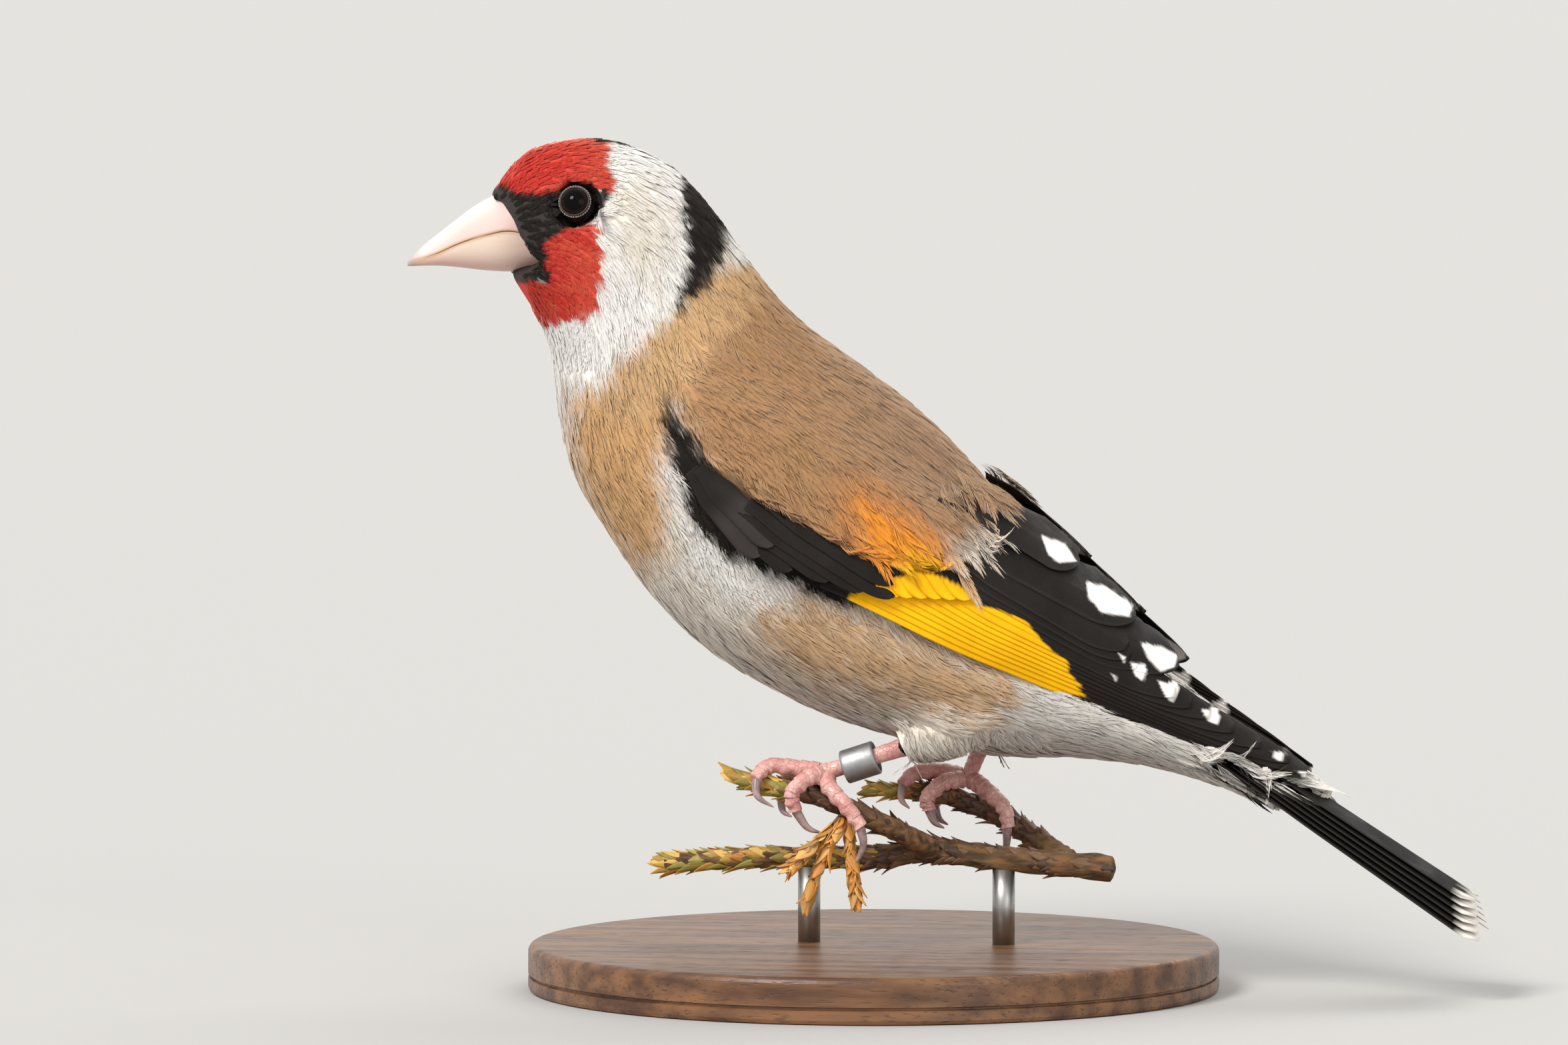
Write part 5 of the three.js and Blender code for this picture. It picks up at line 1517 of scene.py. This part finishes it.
@dataclass
class Eye:
    """A wet globe with a beaded lid ring, set in the skin of one side."""

    side: Side
    place: Pair = (-30.35, 84.9)
    radius: float = 1.95
    lid: float = 1.66
    beads: int = 40
    steps: int = 96
    sides: int = 10

    def frame(self) -> tuple[Array, Array]:
        """The globe's centre in millimetres and its outward direction."""
        q, angle = trunk.locate(np.array([self.place[0]]), np.array([self.place[1]]))
        out = trunk.normal(q, angle, self.side.value)[0]
        low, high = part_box(f"eye_{self.side.name.lower()}")
        return (np.array(low) + np.array(high)) / 2 / MM, out

    def pieces(self) -> list[Object]:
        """The globe and its lids."""
        name = self.side.name.lower()
        centre, out = self.frame()
        shape = bmesh.new()
        bmesh.ops.create_uvsphere(shape, u_segments=64, v_segments=40, radius=self.radius * MM)
        bmesh.ops.translate(shape, verts=shape.verts, vec=Vector(centre * MM))
        for f in shape.faces:
            f.smooth = True
        finish = EyeFinish(f"eye_gloss_{name}", tuple(centre * MM), tuple(out))
        globe = object_of(mesh_of(shape), f"globe_{name}", finish.material())
        return [finish_piece(globe, "eye_gloss", f"eye_{name}"), self._lids(centre, out, name)]

    def _lids(self, centre: Array, out: Array, name: str) -> Object:
        """A ring of pale beads over a dark inner rim."""
        first = unit(np.cross(out, np.array([0.0, 0.0, 1.0])))
        second = np.cross(out, first)
        rng = np.random.default_rng(SEED + 5)
        parts, tints = [], []

        def ring(radius: float, thick: float, tint: str, rise: float) -> None:
            height = math.sqrt(self.radius**2 - radius**2) + rise
            angle = np.linspace(0, 2 * math.pi, self.steps + 1)[:-1]
            turn = np.arange(self.sides) * 2 * math.pi / self.sides
            outward = first * np.cos(angle)[:, None] + second * np.sin(angle)[:, None]
            body = centre + out * height + outward[:, None] * (radius + thick * np.cos(turn))[None, :, None]
            body = body + out * (thick * np.sin(turn))[None, :, None]
            at = np.arange(self.steps * self.sides).reshape(self.steps, self.sides)
            on = np.roll(at, -1, 1)
            quads = np.stack([at, on, np.roll(on, -1, 0), np.roll(at, -1, 0)], -1)
            parts.append((body.reshape(-1, 3), quads.reshape(-1, 4)))
            tints.append(np.tile(linear(tint), (at.size, 1)))

        ring(radius=self.lid - 0.13, thick=0.09, tint="1c1412", rise=0.02)
        ring(radius=self.lid + 0.02, thick=0.08, tint="5d5048", rise=0.0)
        ball = bmesh.new()
        bmesh.ops.create_cube(ball, size=1.0)
        bmesh.ops.subdivide_edges(ball, edges=ball.edges, cuts=2, use_grid_fill=True, smooth=1.0)
        points = unit(np.array([v.co for v in ball.verts]))
        quads = np.array([[v.index for v in f.verts] for f in ball.faces])
        ball.free()
        height = math.sqrt(self.radius**2 - self.lid**2)
        for i in range(self.beads):
            angle = 2 * math.pi * (i + rng.uniform(-0.12, 0.12)) / self.beads
            outward = first * math.cos(angle) + second * math.sin(angle)
            place = centre + out * (height + 0.06) + outward * (self.lid + 0.03)
            parts.append((place + points * rng.uniform(0.075, 0.1), quads))
            tints.append(np.tile(linear("948a80") * rng.uniform(0.7, 1.1), (len(points), 1)))
        shader = Shader(f"lid_skin_{name}", Roughness=0.5)
        material = shader.set(Base_Color=shader.attribute(COAT_COLOUR)).material
        return piece_from(f"lids_{name}", joined(parts), material, "body_feathers",
                          colours=np.concatenate(tints))


@dataclass
class Leg:
    """One shank with its scutes, four toes with pads and claws."""

    side: Side
    hock: Sequence[float]
    joint: Sequence[float]
    toes: Sequence[Sequence[Sequence[float]]]
    claws: Sequence[Sequence[Sequence[float]]]
    shank: float = 0.92
    scutes: int = 7
    front: Sequence[float] = (-1.0, 0.0, 0.6)
    toe_radii: Sequence[float] = (0.95, 0.86, 0.8, 0.66)
    claw_radii: Sequence[float] = (0.56, 0.36, 0.08)
    ball: float = 1.05

    @staticmethod
    def plates(count: float, depth: float, pads: float) -> Callable[[Array, Array], Array]:
        """Relief of overlapping plates on the upper side, and of pads on the under side."""
        def relief(share: Array, angle: Array) -> Array:
            top = smooth((np.cos(angle) + 0.25) / 0.4)
            phase = (share * count) % 1.0
            plate = depth * (phase**0.6 - smooth((phase - 0.88) / 0.12)) * top
            under = smooth((-np.cos(angle) - 0.1) / 0.6)
            return plate + pads * under * (np.cos(share * count * math.pi) ** 2 - 0.4)
        return relief

    def pieces(self) -> list[Object]:
        """The leg's skin and its claws."""
        name = self.side.name.lower()
        hock, joint = np.array(self.hock, float), np.array(self.joint, float)
        lean = hock - joint
        shank = [*(joint + share * lean for share in (-0.05, 0.15, 0.5, 0.85)), hock + 0.1 * lean]
        radii = [self.ball * 0.95, *(self.shank * share for share in (0.93, 0.9, 1.0, 1.2))]
        parts = [tube(shank, radii, 150, 28, self.plates(self.scutes, depth=0.09, pads=0.02), self.front)]
        horn = []
        for toe, claw in zip(self.toes, self.claws):
            line = [joint + 0.25 * (np.array(toe[0]) - joint), *toe]
            parts.append(tube(line, self.toe_radii, 130, 26, self.plates(6, depth=0.13, pads=0.2)))
            root = np.array(toe[-1], float)
            back = unit(root - np.array(toe[-2], float))
            horn.append(tube([root - 0.3 * back, *claw], self.claw_radii, 34, 20))
        leg = piece_from(f"leg_{name}", joined(parts), LegFinish(f"leg_skin_{name}").material(), "leg_skin",
                         f"tarsus_{name}", f"foot_{name}")
        claws = piece_from(f"claws_{name}", joined(horn), ClawFinish(f"claw_{name}").material(), "leg_skin",
                           f"foot_{name}")
        return [leg, claws]


LEFT_LEG = Leg(
    Side.LEFT, (4.4, -7.3, 26.75), (-4.2, -7.3, 23.9),
    (((-6.4, -6.1, 23.9), (-8.6, -5.4, 22.9), (-9.3, -5.5, 21.2)),
     ((-7, -7.5, 24.3), (-10.2, -7.9, 24.5), (-11.6, -8.9, 23.2)),
     ((-5.9, -9.1, 23.4), (-7.4, -10.1, 21.8), (-7.1, -9.9, 19.9)),
     ((-3.6, -8.7, 22.4), (-1.5, -9.7, 20.3), (0, -9.7, 18.2))),
    (((-9, -6, 19.7), (-7.9, -6.6, 19)), ((-11.2, -9.6, 21.5), (-9.4, -9.8, 20.3)),
     ((-5.9, -9.3, 18.2), (-4.3, -8.8, 17.5)), ((0.1, -9.3, 16.2), (-1.3, -8.9, 13.5))))
RIGHT_LEG = Leg(
    Side.RIGHT, (10.7, 7.3, 25.7), (9.3, 7.3, 22.2),
    (((6.9, 5.6, 21.8), (5.2, 4.9, 20.2), (5.3, 4.9, 18.8)),
     ((6.4, 7.4, 22.8), (3.6, 7.2, 22.6), (2.2, 6.3, 21.3)),
     ((6.8, 9.1, 21.8), (5.2, 10, 20.2), (5.2, 9.9, 18.8)),
     ((11.2, 5.8, 21.2), (13.4, 4.9, 19.2), (13.9, 4.8, 17))),
    (((5.9, 5, 17.6), (7, 5.2, 16.9)), ((2.3, 5.2, 20), (3.3, 4.6, 19)),
     ((5.8, 9.6, 17.6), (6.9, 9.1, 16.9)), ((13.7, 4.9, 15), (13.2, 5.1, 12.7))))


@dataclass
class LegRing:
    """A plain metal ring round the left shank, with rounded edges and a closing seam."""

    inner: float = 1.42
    outer: float = 1.82
    length: float = 3.7
    start: float = 2.1
    drop: float = 0.12
    edge: float = 0.12
    seam: float = 0.035
    seam_turn: float = 2.2
    seam_depth: float = 0.16
    steps: int = 12
    sides: int = 180

    def piece(self) -> Object:
        """The ring."""
        e, half = self.edge, self.length / 2
        profile = [(self.inner + e, -half), (self.outer - e, -half), (self.outer, e - half),
                   *[(self.outer, -half + e + i * (2 * half - 2 * e) / self.steps)
                     for i in range(1, self.steps)],
                   (self.outer, half - e), (self.outer - e, half), (self.inner + e, half),
                   (self.inner, half - e), (self.inner, e - half)]
        points, quads = lathe(profile, self.sides)
        angle = np.arctan2(points[:, 1], points[:, 0])
        away = np.abs(np.angle(np.exp(1j * (angle + self.seam_turn)))) * self.outer
        dent = self.seam_depth * np.exp(-((away / (self.seam * 2)) ** 2))
        radius = np.hypot(points[:, 0], points[:, 1])
        points[:, :2] *= ((radius - dent * (radius > self.inner + 0.2)) / radius)[:, None]
        hock, joint = np.array(LEFT_LEG.hock), np.array(LEFT_LEG.joint)
        along = unit(hock - joint)
        side = unit(np.cross(along, np.array([0.0, 1.0, 0.0])))
        turn = np.stack([side, np.cross(along, side), along])
        centre = joint + along * (self.start + half) - np.array([0, 0, self.drop])
        material = MetalFinish("ring_metal", "a3a4a6", 0.42).material()
        return piece_from("ring_band", (points @ turn + centre, quads), material, "ring_metal", "leg_ring")


@dataclass
class Perch:
    """A cut twig of bark with two side twigs and dry scale leaves."""

    branch: Sequence[Sequence[float]] = (
        (-23, 0.6, 13.2), (-12, 0.3, 14), (0, 0, 14.2), (6, 0, 15), (14, 0.2, 14.2), (26, 0.8, 13.2))
    branch_radii: Sequence[float] = (1.0, 1.1, 1.2, 1.3, 1.35, 1.4)
    left_twig: Sequence[Sequence[float]] = (
        (6.6, -0.6, 15), (3.2, -4.2, 17.4), (-1.2, -6.8, 19.7), (-4.4, -7.4, 21.2), (-8.6, -7.5, 22.1),
        (-13, -7, 23))
    left_radii: Sequence[float] = (1.2, 1.15, 1.1, 1.05, 0.95, 0.6)
    right_twig: Sequence[Sequence[float]] = (
        (21, 1.2, 13.8), (16.8, 5.4, 16), (12.8, 7.2, 18), (9, 7.6, 19.6), (5, 7.4, 20.5), (-0.2, 6.8, 20.8))
    right_radii: Sequence[float] = (1.3, 1.15, 1.05, 1.0, 0.9, 0.55)
    sprigs: Sequence[Sequence[Sequence[float]]] = (
        ((-2.2, -7.7, 19.6), (-2.8, -8.8, 17.8), (-3.9, -9.3, 15.4), (-5.0, -9.4, 12.8), (-5.6, -9.2, 11.2)),
        ((-2.4, -7.9, 19.4), (-3.6, -9.4, 17.9), (-5.2, -10.2, 16.2), (-6.8, -10.4, 14.6)),
        ((-1.8, -7.6, 19.4), (-1.5, -8.4, 16.8), (-1.1, -8.8, 14.0), (-0.8, -8.8, 11.4)))
    ochres: Sequence[str] = ("c79a3e", "b08a3a", "d9b25a", "8f8238", "bb7a38", "9a9142")
    golds: Sequence[str] = ("e0a04c", "d99040", "c98a3a", "e8b56a", "b98a4a")
    browns: Sequence[str] = ("5a4132", "6d4f3a", "4c382c", "77593f")

    @staticmethod
    def rough(seed: int) -> Callable[[Array, Array], Array]:
        """Relief of ridged bark."""
        rng = np.random.default_rng(seed)
        waves = [(rng.uniform(3, 26), rng.integers(1, 7), rng.uniform(0, 6.28)) for _ in range(12)]

        def relief(share: Array, angle: Array) -> Array:
            total = sum(np.sin(share * w * 2 * math.pi + angle * k + p) for w, k, p in waves)
            return 0.028 * total - 0.05 * np.abs(np.sin(angle * 4 + 5 * np.sin(share * 9)))
        return relief

    def bark(self) -> Object:
        """The stems."""
        stems = [(self.branch, self.branch_radii, 260, 56), (self.left_twig, self.left_radii, 160, 40),
                 (self.right_twig, self.right_radii, 160, 40)]
        parts = [tube(line, radii, rings, sides, self.rough(SEED + n))
                 for n, (line, radii, rings, sides) in enumerate(stems)]
        parts.extend(tube(line, np.linspace(0.3, 0.12, len(line)), 60, 12) for line in self.sprigs)
        return piece_from("twig_bark", joined(parts), BarkFinish().material(), "perch_bark", "perch_branch")

    def leaves(self) -> Object:
        """Scale leaves in overlapping pairs along the stems' ends."""
        rng = np.random.default_rng(SEED + 9)
        parts, tints = [], []
        branch, left, right = (self.branch, self.branch_radii), (self.left_twig, self.left_radii), (
            self.right_twig, self.right_radii)
        # Stem and radii, way the leaves point, share of the stem, count, length, width and spread, colours.
        rows = [
            (*branch, -1, (0.02, 0.45), 170, (2.9, 1.25, 0.3), self.ochres),
            (*branch, -1, (0.3, 1.0), 150, (2.3, 1.3, 0.5), self.browns),
            (*left, 1, (0.7, 1.0), 60, (3.0, 1.3, 0.35), self.ochres),
            (*left, 1, (0.15, 0.7), 80, (2.2, 1.2, 0.5), self.browns),
            (*right, 1, (0.8, 1.0), 44, (2.6, 1.2, 0.4), self.ochres),
            (*right, 1, (0.1, 0.85), 120, (2.3, 1.3, 0.6), self.browns),
            *((line, np.full(len(line), 0.3), 1, (0.05, 1.0), 36, (2.9, 1.5, 0.45), self.golds)
              for line in self.sprigs)]
        for line, radii, toward, (low, high), count, (length, width, spread), codes in rows:
            q = np.sort(rng.uniform(low, high, count)) * (len(line) - 1)
            curve = np.array(line, float)
            centre = spline(curve, q)
            ahead = unit(spline(curve, q + 0.05) - spline(curve, q - 0.05)) * toward
            radius = spline(np.array(radii, float)[:, None], q)[:, 0]
            for c, a, r in zip(centre, ahead, radius):
                turn = rng.uniform(0, 2 * math.pi)
                side = unit(np.cross(a, np.array([0.3, 0.1, 1.0])))
                out = side * math.cos(turn) + np.cross(side, a) * math.sin(turn)
                parts.append(self._leaf(c + out * r * 0.82, a, out, length * rng.uniform(0.6, 1.1),
                                        width * rng.uniform(0.75, 1.1), spread * rng.uniform(0.2, 1.5)))
                tint = linear(codes[rng.integers(0, len(codes))]) * rng.uniform(0.75, 1.15)
                tints.append(np.tile(tint, (len(parts[-1][0]), 1)))
        material = LeafFinish().material()
        return piece_from("scale_leaves", joined(parts), material, "perch_bark", "perch_branch",
                          colours=np.concatenate(tints))

    @staticmethod
    def _leaf(root: Array, ahead: Array, out: Array, length: float, width: float,
              spread: float) -> tuple[Array, Array]:
        """One pointed leaf with a keel, bending away from its stem."""
        rows, cols = 9, 7
        u, v, quads = vane_grid(rows, cols)
        side = np.cross(ahead, out)
        half = width / 2 * np.sin(np.pi * np.clip(0.12 + 0.86 * u**0.8, 0, 1)) + 0.02
        away = length * (0.25 * spread * u + 0.3 * spread * u**2)
        fold = -0.35 * half * np.abs(v)
        mid = (root + ahead * (length * u)[..., None] + side * (v * half)[..., None]
               + out * (away + fold)[..., None])
        thick = 0.07 + 0.1 * (1 - np.abs(v)) * (1 - u)
        top = mid + out * thick[..., None]
        return np.concatenate([top.reshape(-1, 3), mid.reshape(-1, 3)]), quads


@dataclass
class Stand:
    """A turned wooden base with two plain steel rods."""

    radius: float = 37.0
    height: float = 5.0
    rod: float = 1.2
    rod_rise: float = 13.1
    edge: float = 0.8

    def pieces(self) -> list[Object]:
        """The base and the rods."""
        r, h = self.radius, self.height
        e = self.edge
        arc = [(r - e + e * math.sin(a), h - e + e * math.cos(a)) for a in np.linspace(math.pi / 2, 0, 8)]
        foot = [(r - 0.5, 0.0), (r - 0.15, 0.15), (r, 0.5)]
        groove = [(r, 1.5), (r - 0.35, 1.62), (r - 0.35, 1.8), (r, 1.92)]
        profile = [(0.01, 0.0), *foot, *groove, *arc, (r - 3.0, h), (0.01, h)]
        made = [piece_from("base_turned", lathe(profile, 220), TurnedWoodFinish().material(), "base_wood",
                           "stand_base")]
        made[0].data.shade_flat()
        steel = MetalFinish("rod_steel", "a9a9a8", 0.28, (1.0, 1.0, 0.06)).material()
        for name in ("front", "rear"):
            low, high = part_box(f"stand_rod_{name}")
            profile = [(0.01, h), (self.rod, h), (self.rod, self.rod_rise), (0.01, self.rod_rise)]
            points, quads = lathe(profile, 64)
            points += np.array([low[0] + high[0], low[1] + high[1], 0.0]) / 2 / MM
            made.append(piece_from(f"rod_{name}", (points, quads), steel, "rod_metal", f"stand_rod_{name}"))
        return made


@dataclass
class Studio:
    """Pale floor, soft light and the photograph's point of view."""

    width: float = 0.168
    aim: Pair = (-9.6, 50.0)
    lens: float = 300.0
    sensor: float = 36.0
    floor: float = 40.0
    # name, where it shines from, power and angle in degrees
    suns: Sequence[tuple[str, Sequence[float], float, float]] = (
        ("key", (-0.45, -0.75, 0.8), 2.9, 20.0), ("side", (0.75, -0.9, 0.35), 0.6, 35.0),
        ("rear", (0.3, 0.8, 0.9), 1.0, 40.0))
    sunlight: Sequence[float] = (1.0, 0.97, 0.92)
    sky: Sequence[float] = (1.0, 0.98, 0.95, 1.0)
    sky_power: float = 0.85

    def build(self) -> None:
        """Makes the floor, lights, world and camera."""
        shape = bmesh.new()
        bmesh.ops.create_grid(shape, x_segments=1, y_segments=1, size=self.floor)
        floor = object_of(mesh_of(shape), "studio_floor", StudioFinish().material())
        back, right, up = self.axes()
        centre = Vector(right * self.aim[0] + up * self.aim[1]) * MM
        distance = self.width * self.lens / self.sensor
        data = bpy.data.cameras.new("camera")
        data.lens, data.sensor_width, data.clip_start, data.clip_end = self.lens, self.sensor, 0.05, 50.0
        camera = bpy.data.objects.new("camera", data)
        bpy.context.scene.collection.objects.link(camera)
        camera.location = centre + Vector(back) * distance
        camera.rotation_mode = "QUATERNION"
        camera.rotation_quaternion = Matrix((right, up, back)).transposed().to_quaternion()
        bpy.context.scene.camera = camera
        for name, place, power, angle in self.suns:
            self._sun(name, place, power, angle)
        world = bpy.data.worlds.new("world")
        bpy.context.scene.world = world
        world.use_nodes = True
        background = world.node_tree.nodes["Background"].inputs
        background["Color"].default_value, background["Strength"].default_value = self.sky, self.sky_power
        bpy.context.scene.view_settings.view_transform = "Standard"

    @staticmethod
    def axes() -> tuple[Array, Array, Array]:
        """Back, right and up directions of the drawing's point of view."""
        back, right = np.array([SIN_A * COS_E, -COS_A * COS_E, SIN_E]), np.array([COS_A, SIN_A, 0.0])
        return back, right, np.array([-SIN_A * SIN_E, COS_A * SIN_E, COS_E])

    def _sun(self, name: str, place: Sequence[float], power: float, angle: float) -> None:
        """A soft distant light that shines from a place toward the origin."""
        data = bpy.data.lights.new(name, "SUN")
        data.energy, data.angle, data.color = power, math.radians(angle), self.sunlight
        lamp = bpy.data.objects.new(name, data)
        bpy.context.scene.collection.objects.link(lamp)
        lamp.rotation_euler = (-Vector(place)).to_track_quat("-Z", "Y").to_euler()


def main() -> None:
    """Builds the pieces in order."""
    logging.basicConfig(level=logging.INFO, format="%(message)s")
    coat = Coat()
    finish_piece(coat.skin(), "body_feathers", *FLESH)
    for piece in coat.feathers():
        finish_piece(piece, "body_feathers")
    vanes = VaneFinish().material()
    for side in Side:
        finish_piece(Wing(side).piece(vanes), "flight_feathers", f"wing_{side.name.lower()}")
    finish_piece(Tail().piece(vanes), "flight_feathers", "tail")
    Bill().pieces()
    for side in Side:
        Eye(side).pieces()
    LEFT_LEG.pieces()
    RIGHT_LEG.pieces()
    LegRing().piece()
    perch = Perch()
    perch.bark()
    perch.leaves()
    Stand().pieces()
    Studio().build()
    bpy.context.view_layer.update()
    meshes = [o.data for o in bpy.data.objects if o.type == "MESH"]
    log.info("triangles: %d", sum(len(m.loops) - 2 * len(m.polygons) for m in meshes))


if __name__ == "__main__":
    main()
